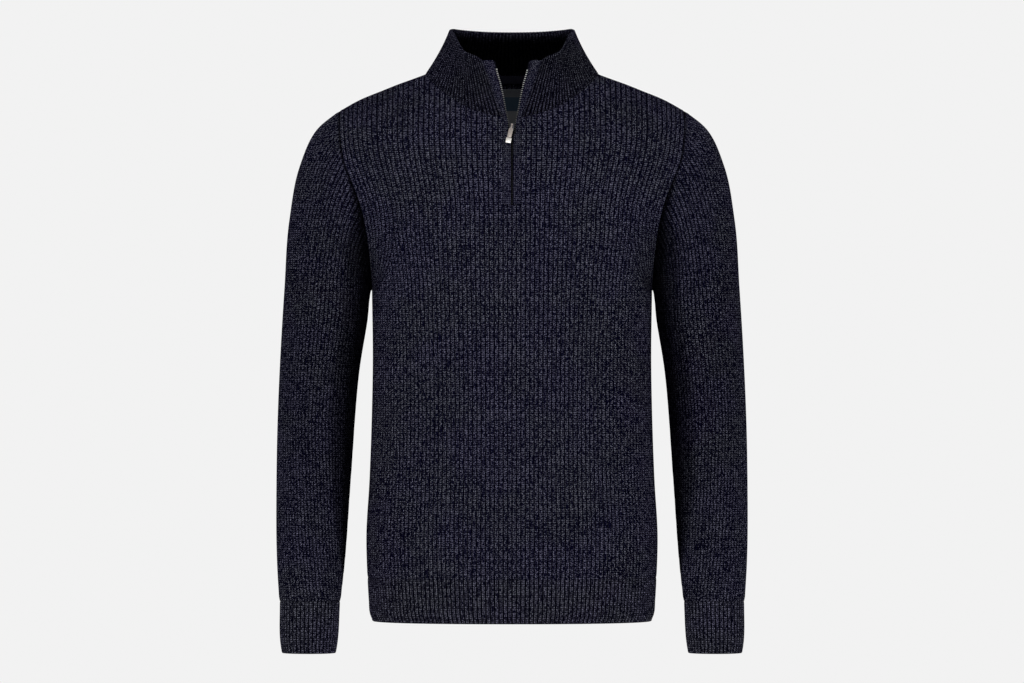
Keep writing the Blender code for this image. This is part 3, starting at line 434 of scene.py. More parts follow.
def knitMaterial(name, tint=1.0, look=yarn):
    # U counts ribs and V counts courses.  Each rib is a column of V-shaped stitches, a leg on
    # either side of its crest that rises outwards, and each leg has its own shade of the marl
    r = Recipe(name)
    u, v = r.uv()
    across = r.math("SUBTRACT", r.math("FRACT", u), 0.5)
    leg = r.times(r.math("ABSOLUTE", across), 2.0)
    side = r.math("GREATER_THAN", across, 0.0)
    rise = r.math("SUBTRACT", v, r.times(leg, look["lean"]))
    loop = r.math("POWER", r.hump(rise), look["roundness"][0])
    turn = r.range(leg, 0.0, 1.0, look["middle"] * math.pi, math.pi, "LINEAR")
    strand = r.times(loop, r.math("POWER", r.math("SINE", turn), look["roundness"][1]))
    column = r.math("ADD", r.times(r.math("FLOOR", u), 2.0), side)
    chance = r.dice(r.vector(column, r.math("FLOOR", rise), 1.0))
    # pale fibres show as round specks, a few across a leg and along it
    cellU, cellV = r.times(u, look["specksAcross"]), r.times(rise, look["specksAlong"])
    blob = r.range(r.times(r.hump(cellU), r.hump(cellV)), 0.0, 0.8, look["speckEdge"], 1.0)
    speck = r.times(blob, r.dice(r.vector(r.math("FLOOR", cellU), r.math("FLOOR", cellV), 3.0)))
    clouds, streaks = (
        r.noise(r.vector(r.times(u, look[kind][0]), r.times(v, look[kind][1])), 1.0, detail)
        for kind, detail in (("clouds", 3.0), ("streaks", 2.0)))
    drift = r.times(r.math("SUBTRACT", r.math("ADD", clouds, streaks), 1.0), look["drift"])
    mixed = r.math("ADD", r.times(chance, look["legChance"]), speck)
    pale = r.range(r.math("ADD", mixed, drift), *look["paleRange"])
    marl = r.mix(pale, look["navy"], look["pale"])
    cast = r.mix(r.range(r.noise(r.place(), look["castScale"]), *look["castRange"]),
                 look["violet"], look["slate"])
    shade = r.mix(1.0, marl, cast, "MULTIPLY")
    # painted shade: where the strand's round falls away, the colour goes to the near-black gap
    # colour, and the mesh's shade attribute darkens it further
    shown = r.shade(r.mix(strand, look["hole"], shade))
    if tint != 1.0:
        shown = r.mix(1.0, shown, (tint, tint, tint), "MULTIPLY")
    return r.finish(shown, 0.95, r.bump(strand, look["stitchBump"]))


# The body's front and back panels.

def armholeCurve(count=400):
    # up the front of the wearer's left armhole, and down its back
    front, back = (stack(armhole["x"], sign * armhole[face], armhole["z"])
                   for face, sign in (("front", -1), ("back", 1)))
    knots = np.concatenate([front, back[::-1][1:]])
    at = sharesOf(knots)
    top = at[len(front) - 1]
    fine = np.sort(np.append(np.linspace(0, 1, count), top))
    points = smoothAt(at, knots, fine)
    k = rowNear(fine, top)
    return {"front": points[:k + 1], "back": points[k:][::-1]}


armholeSeam = armholeCurve()
neckCurve = {"front": curveOf(neckFront), "back": curveOf(neckBack)}
shoulderCurve = curveOf(shoulder)
collarCurve = {"front": curveOf(collarFront), "back": curveOf(collarBack)}

panel = {
    "front": {"ribs": 42, "start": cloth["slotHalf"], "sign": -1, "bulge": 1.0},
    "back": {"ribs": 44, "start": 0.0, "sign": 1, "bulge": 6.0},
    "middleRibs": 4,        # below the slot
    "perRib": 8,            # columns of points to a rib
    "rows": (("hemSeam", "armpit", 73, 1.15),       # from, to, how many, and how they crowd
             ("armpit", "slotBottom", 25, 1.25),
             ("slotBottom", "chest", 13, 1.0)),
    "topRows": 20,          # from the chest to the neck and shoulder seams
    "rowStep": 4,           # rows of the outside to one of the inside
    "samples": 401,
    "curveLevels": (-150.0, -130.0, heights["chest"], heights["yoke"]),
    "curveShares": (0.62, 1.0),     # above the yoke, of the way to the top edge
    "neckShare": 0.54,      # share of the top edge that is the neck seam
    "ribHeight": 1.25,
    "courseHeight": 2.75,
    "bandRibs": 8,          # ribs that run along the armhole seam
    "chestPitch": 5.8,      # width of a rib above the armholes' narrowing
    "narrowingTop": -196.0,
    "runOut": 0.45,         # ribs over which a cut-off one flattens
    "sideShare": 0.97,      # where the sewn sides begin to turn in
    "topTurn": 6,           # rows over which the top edge does
}


def levelCurve(face, z, start, count=400):
    # x = side * sin(a)^(2/n), y = depth * cos(a)^(2/n); above the armpit the oval passes
    # through the armhole seam and stops there
    n = cloth["squareness"]
    depth = smoothAt(centre["z"], centre[face], z)
    if z <= heights["armpit"]:
        side = smoothAt(body["z"], body["side"], z)
        end = math.pi / 2
    else:
        seam = armholeSeam[face]
        x, y = (np.interp(z, seam[:, 2], seam[:, k]) for k in (0, 1))
        side = x / (1 - (abs(y) / depth) ** n) ** (1 / n)
        end = math.asin((x / side) ** (n / 2))
    angle = np.linspace(math.asin((start / side) ** (n / 2)), end, count)
    return stack(side * np.sin(angle) ** (2 / n),
                 panel[face]["sign"] * depth * np.clip(np.cos(angle), 0, 1) ** (2 / n), float(z))


def topEdge(face, shares):
    # the neck seam, then the shoulder seam
    split = panel["neckShare"]
    neck = spread(neckCurve[face], np.clip(shares / split, 0, 1))
    top = spread(shoulderCurve, np.clip((shares - split) / (1 - split), 0, 1))
    return np.where((shares <= split)[:, None], neck, top)


def yokeRow(face, share, shares):
    # straight from the yoke's level to the top edge, bowed with the armhole seam and the chest
    bottom = spread(levelCurve(face, heights["yoke"], panel[face]["start"]), shares)
    straight = bottom + (topEdge(face, shares) - bottom) * share
    seam = armholeSeam[face]
    seam = seam[seam[:, 2] >= heights["yoke"]]
    bend = spread(seam, share) - (seam[0] + (seam[-1] - seam[0]) * share)
    bulge = panel[face]["bulge"] * 4 * share * (1 - share) * math.sqrt(0.5)
    middle = bulge * np.array([0.0, panel[face]["sign"], 1.0])
    return straight + shares[:, None] * bend + (1 - shares[:, None]) * middle


def levelRows():
    # heights of the rows up to the chest, closer together at the hem seam and the armpit
    h = heights
    parts = [h[low] + (h[high] - h[low]) * np.linspace(0, 1, count) ** power
             for low, high, count, power in panel["rows"]]
    return np.concatenate([parts[0]] + [part[1:] for part in parts[1:]])


def panelSheet(face, shares):
    # the smooth half panel without ribs: levels below the chest, and above it a smooth
    # curve through the last levels, the yoke and the top edge
    start, levels = panel[face]["start"], levelRows()
    lower, middle = (np.stack([spread(levelCurve(face, z, start), shares) for z in rowHeights])
                     for rowHeights in (levels, panel["curveLevels"]))
    upper = [yokeRow(face, share, shares) for share in panel["curveShares"]]
    control = np.concatenate([middle, upper])
    at = runUp(control).mean(axis=1)
    chest = at[panel["curveLevels"].index(heights["chest"])]
    rise = np.sin(np.linspace(0, math.pi / 2, panel["topRows"] + 1)[1:])
    sheet = np.concatenate([lower, smoothAt(at, control, chest + (at[-1] - chest) * rise)])
    normals = unit(np.cross(np.gradient(sheet, axis=1), np.gradient(sheet, axis=0))
                   * -panel[face]["sign"])
    return sheet, rimNormals(face, sheet, normals, levels, shares), levels


def armholeNormal(points):
    # out from the middle of the armhole, in its plane
    middle = (heights["armpit"] + shoulder["z"][-1]) / 2
    return unit((points - [0, 0, middle]) * [0, 1, 1])


def fromNeck(points):
    # level, away from the middle of the neck
    return unit((points - [0, cloth["neckMiddle"], 0]) * [1, 1, 0])


def neckNormal(points):
    return unit(fromNeck(points) + [0, 0, cloth["neckLift"]])


def rimNormals(face, sheet, normals, levels, shares):
    # sewn edges sink along directions that both their pieces share
    rows = np.arange(len(sheet))
    belowArmpit = rows < rowNear(levels, heights["armpit"])
    edge = np.where(belowArmpit[:, None], [1.0, 0.0, 0.0], armholeNormal(sheet[:, -1]))
    start = panel["sideShare"]
    near = np.clip((shares - start) / (1 - start), 0, 1)[:, None]
    normals = unit(normals * (1 - near) + edge[:, None] * near)
    onNeck = shares <= panel["neckShare"]
    ending = np.where(onNeck[:, None], neckNormal(sheet[-1]), unit(normals[-1] * [1, 0, 1]))
    close = fade(rows, rows[-1] - panel["topTurn"], rows[-1])[:, None, None]
    normals = unit(normals * (1 - close) + ending * close)
    # the middle column stays in its own plane, where the two halves meet
    meeting = rowNear(levels, heights["slotBottom"]) + 1 if face == "front" else len(rows)
    normals[:meeting, 0, 0] = 0
    return unit(normals)


def ribLayout(face, levels, sheet, shares):
    # where each column of points stands in each row, as a share of the half panel's width, with
    # its height and its rib's number: inner columns keep their width until the ribs along the
    # armhole cut them off, and above the yoke's level every column goes straight up
    ribs, band, per = panel[face]["ribs"], panel["bandRibs"], panel["perRib"]
    armpit, narrow = heights["armpit"], panel["narrowingTop"]
    widths = np.array([lengthOf(levelCurve(face, z, panel[face]["start"])) for z in levels])
    lowPitch = np.interp(armpit, levels, widths) / ribs
    pitch = np.interp(levels, (armpit, narrow), (lowPitch, panel["chestPitch"]))
    counts = np.where(levels <= armpit, ribs, widths / pitch)
    fewest = np.interp(narrow, levels, counts)
    counts = np.where(levels > narrow, fewest, np.maximum(counts, fewest))[:, None]
    line = counts - band
    innerRib = np.minimum(np.arange((ribs - band) * per + 1) / per, line)
    outerRib = ribs - band + np.broadcast_to(np.arange(band * per + 1) / per,
                                             (len(levels), band * per + 1))
    cut = np.where(counts < ribs - 0.01, 1.0, 0.0)
    flattened = 1 - cut * (1 - fade(line - innerRib, 0.0, panel["runOut"]))
    pairs = ((innerRib / counts, (counts - (ribs - outerRib)) / counts),
             (ribShape(innerRib) * flattened, ribShape(outerRib)),
             (innerRib, outerRib))
    extra = len(sheet) - len(levels)
    share, height, number = (np.pad(np.concatenate(pair, axis=1), ((0, extra), (0, 0)), "edge")
                             for pair in pairs)
    top = len(levels) - 1
    first = top + rowNear(sheet[top:, :, 2].mean(axis=1), heights["yoke"])
    x = np.interp(share[first], shares, sheet[first, :, 0])
    neckX, edgeX = neckFront["x"][-1], sheet[first, -1, 0]
    for row in range(first + 1, len(sheet)):
        narrower = (sheet[row, -1, 0] - neckX) / (edgeX - neckX)
        target = np.where(x > neckX, neckX + (x - neckX) * narrower, x)
        share[row] = np.interp(target, sheet[row, :, 0], shares)
    return share, height, number, innerRib.shape[1]


def panelBlocks(face):
    # the half panel's two blocks of ribs, each with its outside, inside, UV places and shade
    shares = np.linspace(0, 1, panel["samples"])
    sheet, normals, levels = panelSheet(face, shares)
    at, height, number, split = ribLayout(face, levels, sheet, shares)
    base = takeShares(sheet, shares, at)
    out = unit(takeShares(normals, shares, at))
    run = runUp(base)
    toSide = (1 - at) * rowWidths(sheet)[:, None]
    flat = cloth["flatSeam"]
    groove = np.maximum(dip(toSide), np.maximum(dip(run[-1:] - run, flat), dip(run, flat)))
    depth = np.maximum(panel["ribHeight"] * (1 - height), groove)
    grids = (base - out * depth[..., None], base - out * cloth["wall"],
             stack(number, run / panel["courseHeight"]), seamShade(groove))
    blocks = [[grid[:, columns] for grid in grids]
              for columns in (slice(split), slice(split, None))]
    return blocks, levels, sheet, normals


def buildPanel(face, material):
    blocks, levels, sheet, normals = panelBlocks(face)
    step, per = panel["rowStep"], panel["perRib"]
    slotRow = rowNear(levels, heights["slotBottom"])
    mesh = Mesh()
    if face == "front":
        buildMiddle(mesh, blocks[0], levels[:slotRow + 1])
    for flip in (1, -1):
        (a, b), (c, d) = (mesh.wall(outside, inside, places * [flip, 1], shade, flip, step, per)
                          for outside, inside, places, shade in blocks)
        mesh.rim(c[:, -1], d[:, -1])
        if face == "front":
            mesh.rim(a[slotRow:, 0], b[slotRow // step:, 0])
    piece = mesh.make(face + "_knit", material, "garment", "knit", face)
    declareCloth(piece, sheet, 2, rowWidths(sheet[:len(levels)]).max(),
                 (2 * panel[face]["start"], heights["slotBottom"] - heights["hemSeam"]))
    return sheet, normals


def buildMiddle(mesh, block, levels):
    # the ribs below the slot, between its two edges: x runs evenly across and y follows the oval
    ribs, per, step = panel["middleRibs"], panel["perRib"], panel["rowStep"]
    outside, inside, places = (grid[:len(levels), :1] for grid in block[:3])
    across = np.linspace(-1, 1, ribs * per + 1)
    depth = smoothAt(centre["z"], centre["front"], levels)[:, None]
    # the edge column sits in a valley, so the crest stands a rib's height in front of it
    crest = outside[..., 1] - panel["ribHeight"]
    bowed = crest - (depth + crest) * (1 - across ** 2)
    courses = places[..., 1]
    run = courses * panel["courseHeight"]
    slotDip = dip(run[-1] - run) + dip(run)
    valley = panel["ribHeight"] * (1 - ribShape((across + 1) / 2 * ribs))
    y = np.maximum(bowed + valley, bowed + slotDip)
    y[:, (0, -1)] = outside[..., 1]
    x = across * cloth["slotHalf"]
    uv = stack((across - 1) * ribs / 2, courses)
    inside = inside[::step]
    a = mesh.grid(stack(x, y, outside[..., 2]), uv, seamShade(slotDip))
    b = mesh.grid(stack(x[::per], inside[..., 1], inside[..., 2]), uv[::step, ::per],
                  cloth["insideShade"])
    for row in (0, -1):
        mesh.rim(a[row], b[row])


# Walls that turn round an edge: hem, cuffs and collar.

def turnedEdge(look, thick, drop):
    # (share down the wall, depth into it, how far below the turn) from the seam down the
    # outside, half round the edge and back up the inside
    rows, turnRows = look["rows"], look["turnRows"]
    angle = np.linspace(0, math.pi, turnRows + 2)[1:-1]
    up = np.linspace(1, 0, max(rows // 2, 3))
    outside, inside = np.zeros(rows), np.zeros(len(up))
    share = np.concatenate([np.linspace(0, 1, rows) ** cloth["bandCrowding"],
                            np.ones(turnRows), up])
    into = np.concatenate([outside, thick / 2 * (1 - np.cos(angle)), inside + thick])
    below = np.concatenate([outside, drop * np.sin(angle), inside])
    return share, into, below


def ribbedBand(look, thick, smooth, normals, number, run, into, side=0.0, inner=0.5):
    # ribs on the outside and lower ones on the inside, and a groove along the sewn edges;
    # outer goes from 1 outside to -1 inside
    outer = np.clip(1 - into / thick * 2, -1, 1)[:, None]
    rib = look["ribHeight"] * (1 - ribShape(number)) * np.maximum(outer, -inner * outer)
    groove = np.maximum(side, dip(run, cloth["flatSeam"])) * np.clip(outer, 0, 1)
    inwards = into[:, None] + np.maximum(rib * np.sign(outer), groove)
    return smooth - normals * inwards[..., None], outer, groove


def bandShade(groove, outer):
    # light outside, dark inside, and darker in the seam's groove
    inside = cloth["insideShade"]
    return seamShade(groove) * (inside + (1 - inside) * np.clip(0.5 + outer, 0, 1))


def makeBand(look, name, node, material, smooth, restsOn, closed, *grid):
    # a band that goes all round needs no caps
    mesh = Mesh()
    index = mesh.grid(*grid)
    mesh.rim(index[0], index[-1])
    if not closed:
        mesh.cap(index)
    piece = mesh.make(name, material, "garment", "knit", node)
    declareCloth(piece, smooth[:look["rows"] + look["turnRows"] // 2], 1)


hem = {"ribs": 88, "perRib": 8, "rows": 12, "turnRows": 6, "ribHeight": 1.3, "courseHeight": 2.7}


def buildHem(face, material):
    # the body's ovals from the hem seam down, turned in at the bottom edge
    h = heights
    share, into, below = turnedEdge(hem, cloth["bandWall"], h["hemTurn"] - h["hemBottom"])
    levels = h["hemSeam"] + (h["hemTurn"] - h["hemSeam"]) * share
    ribs = hem["ribs"] / 2
    even = np.linspace(0, 1, int(ribs * hem["perRib"]) + 1)
    half = np.stack([spread(levelCurve(face, z, 0.0), even) for z in levels])
    grid = wholeOf(half)
    smooth = grid - below[:, None, None] * [0, 0, 1]
    normals = unit(np.cross(np.gradient(grid, axis=1), [0.0, 0.0, -panel[face]["sign"]]))
    normals[:, (0, -1)] = [(-1, 0, 0), (1, 0, 0)]
    number = np.concatenate([-even[::-1][:-1], even]) * ribs
    toSide = (1 - np.abs(number) / ribs) * rowWidths(half)[:, None]
    points, outer, groove = ribbedBand(hem, cloth["bandWall"], smooth, normals, number,
                                       (h["hemSeam"] - levels)[:, None], into, dip(toSide))
    uv = stack(number, -runUp(points[:, :1]) / hem["courseHeight"])
    makeBand(hem, f"hem_{face}_knit", "hem_rib_" + face, material, smooth, [face + "_knit"], False,
             points, uv, bandShade(groove, outer))


cuff = {"ribs": 44, "perRib": 8, "rows": 14, "turnRows": 6, "ribHeight": 1.3, "courseHeight": 2.7}


def buildCuff(side, flip, material):
    # ellipses between the table's rows, turned in at the bottom edge
    h = heights
    share, into, below = turnedEdge(cuff, cloth["bandWall"], h["cuffTurn"] - h["cuffBottom"])
    z = (h["cuffSeam"] + (h["cuffTurn"] - h["cuffSeam"]) * share)[:, None]
    size = {key: smoothAt(cuffCut["z"][::-1], values[::-1], z[:, 0])[:, None]
            for key, values in cuffCut.items()}
    turn = fullTurn(cuff["ribs"] * cuff["perRib"])
    wide, middle = (size["outerX"] - size["innerX"]) / 2, (size["outerX"] + size["innerX"]) / 2
    number = turn / (2 * math.pi) * cuff["ribs"]
    normals = unit(stack(np.cos(turn) / wide, -np.sin(turn) / size["depth"], 0.0))
    smooth = stack(middle + wide * np.cos(turn), -size["forward"] - size["depth"] * np.sin(turn),
                   z - below[:, None])
    points, outer, groove = ribbedBand(cuff, cloth["bandWall"], smooth, normals, number,
                                       h["cuffSeam"] - z, into)
    uv = stack(number, -runUp(points[:, :1]) / cuff["courseHeight"])
    makeBand(cuff, f"cuff_{side}_knit", "cuff_" + side, material, smooth,
             [f"sleeve_{side}_knit"], True, points * [flip, 1, 1], uv, bandShade(groove, outer))


collar = {
    "ribs": 108, "perRib": 8, "rows": 20, "turnRows": 7, "frontShare": 0.52, "ribHeight": 1.6,
    "courseHeight": 2.5, "turnAt": 0.955, "bow": 2.4,
    "bowFrom": (0.02, 0.35),            # shares of the half collar over which the bow grows
    "insideRibs": 0.7,                  # height of the inside's ribs to the outside's
    "valleyFall": 0.9,                  # how far the top edge falls between two ribs
    "seamTurn": 0.35,                   # share of the height over which it straightens up
    "shade": 0.68, "edgeShade": 0.95, "rimShade": 0.85, "deepShade": 0.025, "rimReach": 6.5,
    "edgeFade": (10.0, 2.0),            # below the top edge, from the outside's shade to the edge's
    "overRim": (0.3, 1.4),              # how quickly the inside's shade takes over past the rim
}


def collarHalf(share, height):
    # ruled from the neck seam to the top edge, and bowed inwards between them
    split = collar["frontShare"]
    frontShare = np.clip(share / split, 0, 1)
    backShare = np.clip((share - split) / (1 - split), 0, 1)
    low, high = (np.where((share <= split)[:, None], spread(curves["front"], frontShare),
                          spread(curves["back"][::-1], backShare))
                 for curves in (neckCurve, collarCurve))
    inward = collar["bow"] * 4 * height * (1 - height) * fade(share, *collar["bowFrom"])
    return low + (high - low) * height - fromNeck(low) * inward[:, None]


def collarSheet(share, heightsUp):
    half = np.stack([collarHalf(share, height) for height in heightsUp])
    return np.concatenate([half, mirrored(half)[:, 1:]], axis=1)


def buildCollar(material):
    thick = cloth["collarWall"]
    share, into, below = turnedEdge(collar, thick, 1.0)
    even = np.linspace(0, 1, collar["ribs"] * collar["perRib"] // 2 + 1)
    grid = collarSheet(even, share * collar["turnAt"])
    bottom, middle, turnLine, top = collarSheet(even, (0.0, 0.5, collar["turnAt"], 1.0))
    low, level = neckNormal(grid[0]), unit(np.cross(np.gradient(middle, axis=0), top - bottom))
    out = unit(low + (level - low) * fade(share, 0.0, collar["seamTurn"])[:, None, None])
    smooth = grid + (top - turnLine) * below[:, None, None]
    number = np.concatenate([even, 2 - even[::-1][1:]]) * collar["ribs"] / 2
    points, outer, groove = ribbedBand(collar, thick, smooth, out, number, runUp(grid), into,
                                       inner=collar["insideRibs"])
    fall = collar["valleyFall"] * np.sin(np.pi * np.clip(into / thick, 0, 1))[:, None]
    points = points - (top - turnLine) / 3 * (fall * (1 - ribShape(number)))[..., None]
    travel = runUp(points)
    uv = stack(number, travel / collar["courseHeight"])
    # little light falls into the collar: its inside darkens quickly below the top edge
    topRow = collar["rows"] + collar["turnRows"] // 2
    sunk = np.maximum(travel - travel[topRow], 0)
    inside = collar["deepShade"] + (collar["rimShade"] - collar["deepShade"]) * np.exp(
        -(sunk / collar["rimReach"]) ** 2)
    # painted highlight: the outside lightens towards the top edge, where the rim catches the light
    nearEdge = fade(travel[topRow] - travel, *collar["edgeFade"])
    outside = collar["shade"] + (collar["edgeShade"] - collar["shade"]) * nearEdge
    atRim, change = collar["overRim"]
    lit = np.clip(atRim + change * outer, 0, 1)
    makeBand(collar, "collar_knit", "collar", material, smooth, ["front_knit", "back_knit"], False,
             points, uv, seamShade(groove) * (outside * lit + inside * (1 - lit)))


# The sleeves.

sleeve = {
    "perRib": 7, "rowStep": 4, "rows": 129, "ribHeight": 1.2, "courseHeight": 2.75,
    "samples": 301,
    "crowding": 0.25,       # how far the rows crowd at the top
    "ribs": 36,             # on the front, and again on the back
    "lowPitch": 4.35,       # below the elbow the ribs keep this width and run into the seam
    "firstSpacing": 0.66,   # of the mean one, at the top of the armhole
    "spacingFade": 3.0,     # sections over which the ribs even out
    "seamFade": 3,          # sections over which the armhole seam's bow fades
    "topTurn": 6,           # rows over which the top edge turns in
    "girthAt": -290.0,      # just below the armpit, where the cut is widest
    # painted shadow on the sleeve's side towards the body: how far across it reaches at each height
    "fold": sizeTable("z reach", (-650, 0), (-620, 0.5), (-590, 7), (-560, 13), (-520, 19),
                      (-470, 24), (-330, 27), (-230, 27), (-205, 21), (-182, 12), (-145, 5),
                      (-110, 0)),
    "foldEdge": 0.60, "foldCore": 0.89,
    "foldFades": (1.45, 0.75, 0.25),    # of its reach: where it starts, its core, and its darkest
    # painted shade down the sleeve: darkest between the armpit and the elbow, lighter at the
    # shoulder and the cuff
    "light": sizeTable("z shade", (-650, 0.98), (-560, 0.92), (-450, 0.82), (-330, 0.80),
                       (-110, 0.84), (-60, 0.95)),
}


def sleeveSection(row, sign, count=241):
    # the front or back half of an ellipse from the outer line to the underarm seam
    s = {name: values[row] for name, values in sleeveCut.items()}
    turn = np.linspace(0, math.pi, count)
    share = (1 + np.cos(turn)) / 2
    return stack(s["innerX"] + (s["outerX"] - s["innerX"]) * share,
                 sign * s["depth"] * np.sin(turn) - s["forward"],
                 s["innerZ"] + (s["outerZ"] - s["innerZ"]) * share)


def sleeveControl(face, sign, shares):
    # the armhole seam, then the sections; the seam's bow fades along the sleeve
    seam, first = armholeSeam[face][::-1], sleeveSection(0, sign)
    fine = np.linspace(0, 1, len(first))
    bend = spread(seam, fine) - spread(first, fine)
    rows = [spread(seam, shares)]
    for row in range(1, len(sleeveCut["depth"])):
        amount = max(0.0, 1 - row / sleeve["seamFade"]) ** 2
        rows.append(spread(sleeveSection(row, sign) + bend * amount, shares))
    return np.stack(rows)


def sleeveSurface():
    # both halves of the left sleeve, front and back, each from the outer line to the underarm
    # seam, smooth through their sections
    shares = np.linspace(0, 1, sleeve["samples"])
    controls = [sleeveControl(face, sign, shares) for face, sign in (("front", -1), ("back", 1))]
    at = runUp(controls[0]).mean(axis=1)
    q = np.linspace(0, 1, sleeve["rows"])
    fine = at[-1] * (sleeve["crowding"] * q ** 2 + (1 - sleeve["crowding"]) * q)
    front, back = (smoothAt(at, control, fine) for control in controls)
    whole = np.concatenate([front, back[:, ::-1][:, 1:-1]], axis=1)
    across = np.roll(whole, -1, axis=1) - np.roll(whole, 1, axis=1)
    normals = unit(np.cross(np.gradient(whole, axis=0), across))
    middle = whole.mean(axis=1, keepdims=True)
    normals *= np.sign(np.sum(normals * (whole - middle), axis=-1, keepdims=True))
    close = fade(np.arange(len(whole)), sleeve["topTurn"], 0)[:, None, None]
    normals = unit(normals * (1 - close) + armholeNormal(whole[0]) * close)
    normals[-1] = unit(normals[-1] * [1, 1, 0])
    count = len(shares)
    backNormals = np.concatenate([normals[:, count - 1:], normals[:, :1]], axis=1)[:, ::-1]
    halves = {"front": (front, normals[:, :count]), "back": (back, backNormals)}
    return halves, shares, np.interp(fine, at, np.arange(len(at)))


def sleeveColumns(width, section):
    # ribs fan out of the armhole seam, keep their number to the elbow, then run into the
    # underarm seam one by one
    number = np.arange(sleeve["ribs"] * sleeve["perRib"] + 1) / sleeve["perRib"]
    counts = np.minimum(sleeve["ribs"], width / sleeve["lowPitch"])[:, None]
    ribs = np.minimum(number, counts)
    even = ribs / counts
    first = sleeve["firstSpacing"]
    close = np.clip(1 - section / sleeve["spacingFade"], 0, 1)[:, None] ** 2
    return counts, ribs, even + close * (first * even + (1 - first) * even ** 2 - even)


def foldShade(points, sheet, face):
    # the side towards the body lies in shadow: how dark depends on the distance across from
    # the armhole seam or the sleeve's inner edge, and the shadow narrows at both its ends
    z = points[..., 2]
    seam, inner = armholeSeam[face], sheet[:, -1]
    order = np.argsort(inner[:, 2])
    line = np.where(z > heights["armpit"], np.interp(z, seam[:, 2], seam[:, 0]),
                    np.interp(z, inner[order, 2], inner[order, 0]))
    reach = np.interp(z, sleeve["fold"]["z"], sleeve["fold"]["reach"])
    across = np.maximum(points[..., 0] - line, 0) / np.maximum(reach, 0.1)
    start, core, darkest = sleeve["foldFades"]
    return 1 - (sleeve["foldEdge"] * fade(across, start, core)
                + (sleeve["foldCore"] - sleeve["foldEdge"]) * fade(across, core, darkest))


def buildSleeve(side, flip, surface, material):
    halves, shares, section = surface
    mesh = Mesh()
    for turn, (face, (sheet, normals)) in zip((flip, -flip), halves.items()):
        counts, ribs, at = sleeveColumns(rowWidths(sheet), section)
        base = takeShares(sheet, shares, at)
        out = unit(takeShares(normals, shares, at))
        run = runUp(base)
        upwards = run[-1:] - run
        height = ribShape(ribs) * fade(counts - ribs, 0.0, panel["runOut"])
        groove = np.maximum(dip(run), dip(upwards, cloth["flatSeam"]))
        depth = np.maximum(sleeve["ribHeight"] * (1 - height), groove)
        # painted shade: the seam's groove, the shadow towards the body and the darker middle of the
        # sleeve multiply its colour
        light = np.interp(base[..., 2], sleeve["light"]["z"], sleeve["light"]["shade"])
        mesh.wall(base - out * depth[..., None], base - out * cloth["wall"],
                  stack(ribs * turn, upwards / sleeve["courseHeight"]),
                  seamShade(groove) * foldShade(base, sheet, face) * light,
                  flip, sleeve["rowStep"], sleeve["perRib"])
    piece = mesh.make(f"sleeve_{side}_knit", material, "garment", "knit", "sleeve_" + side)
    whole = np.concatenate([halves["front"][0][:, ::-1], halves["back"][0][:, 1:]], axis=1)
    girth = columnsAt(-whole[..., 2], [-sleeve["girthAt"]], whole)[0]
    declareCloth(piece, whole, 1, lengthOf(girth))


# The zip's strips, tapes and teeth.

stripCut = sizeTable(
    "z inner",
    (-164.7, 0.5), (-120, 0.5), (-81, 0.6), (-75, 4.2), (-64, 4.6), (-56, 6.4), (-45, 8.9),
    (-30, 11.7), (-14, 15.4), (-1, 19.4), (14.5, 22.3))

strip = {
    "proud": 0.5, "crown": 0.4, "thick": 2.6,
    "lap": 0.5,                 # how far its sewn edge sinks into the panel's
    "forward": (0.02, 0.32),    # slope across it, out of the slot and at the collar's top
    "ridgePitch": 2.5, "ridgeHeight": 0.3, "rowStep": 0.4, "around": 28, "cap": 1.8,
    "stitchWidth": 2.2, "square": 0.4, "innerLimit": 0.3,
    # painted shade: the closed zip's gap and both long edges of each strip are darkened
    "closedShade": 0.8,         # how dark their inner edges are where the zip is closed
    "closedFrom": (-60.0, -80.0),
    "closedWidth": (1.5, 0.4),  # from the inner edge, where that dark starts and is full
    "edgeDark": (0.5, 0.35),    # of both long edges, and the exponent of its fall
    "frontTo": -0.2,            # how far round the sides the front's shade reaches
}
tape = {"trim": 0.8, "lap": 1.0, "setBack": 0.35, "thick": 0.7, "rowStep": 2.0}
teeth = {
    "pitch": 2.5, "size": (2.3, 0.85, 1.5),     # across, along and out
    "square": 0.5,              # exponent of their rounding
    "reach": 0.5,               # from the strip's inner edge to a tooth's middle
    "inSlot": 0.55, "first": -163.0, "last": 3.5,
}

# the open teeth catch the light at the collar and less of it further down, the closed ones none
teethLight = sizeTable("z shade", (-80, 0.02), (-72, 0.04), (-50, 0.16), (-30, 0.30), (4, 1))


def zipEdge(frontSheet):
    # the slot's left edge, then the collar's front end
    slotRow = rowNear(levelRows(), heights["slotBottom"])
    return np.concatenate([frontSheet[slotRow:, 0], [[collarFront[k][0] for k in "xyz"]]])


def zipFrame(edge, z):
    # at each height: the strip's outer and inner edges, and the ways across, up and out
    outer, high, low = (pick(edge[:, 2], z + lift, edge) for lift in (0, 2, -2))
    innerX = sum(np.interp(z + lift, stripCut["z"], stripCut["inner"])
                 for lift in (-1.5, 0, 1.5)) / 3
    slope = np.interp(outer[:, 0], (cloth["slotHalf"], collarFront["x"][0]), strip["forward"])
    inner = stack(innerX, outer[:, 1] - (outer[:, 0] - innerX) * slope, z)
    across, up = unit(inner - outer), unit(high - low)
    out = unit(np.cross(up, across))
    return outer, inner, across, up, out * -np.sign(out[:, 1:2])


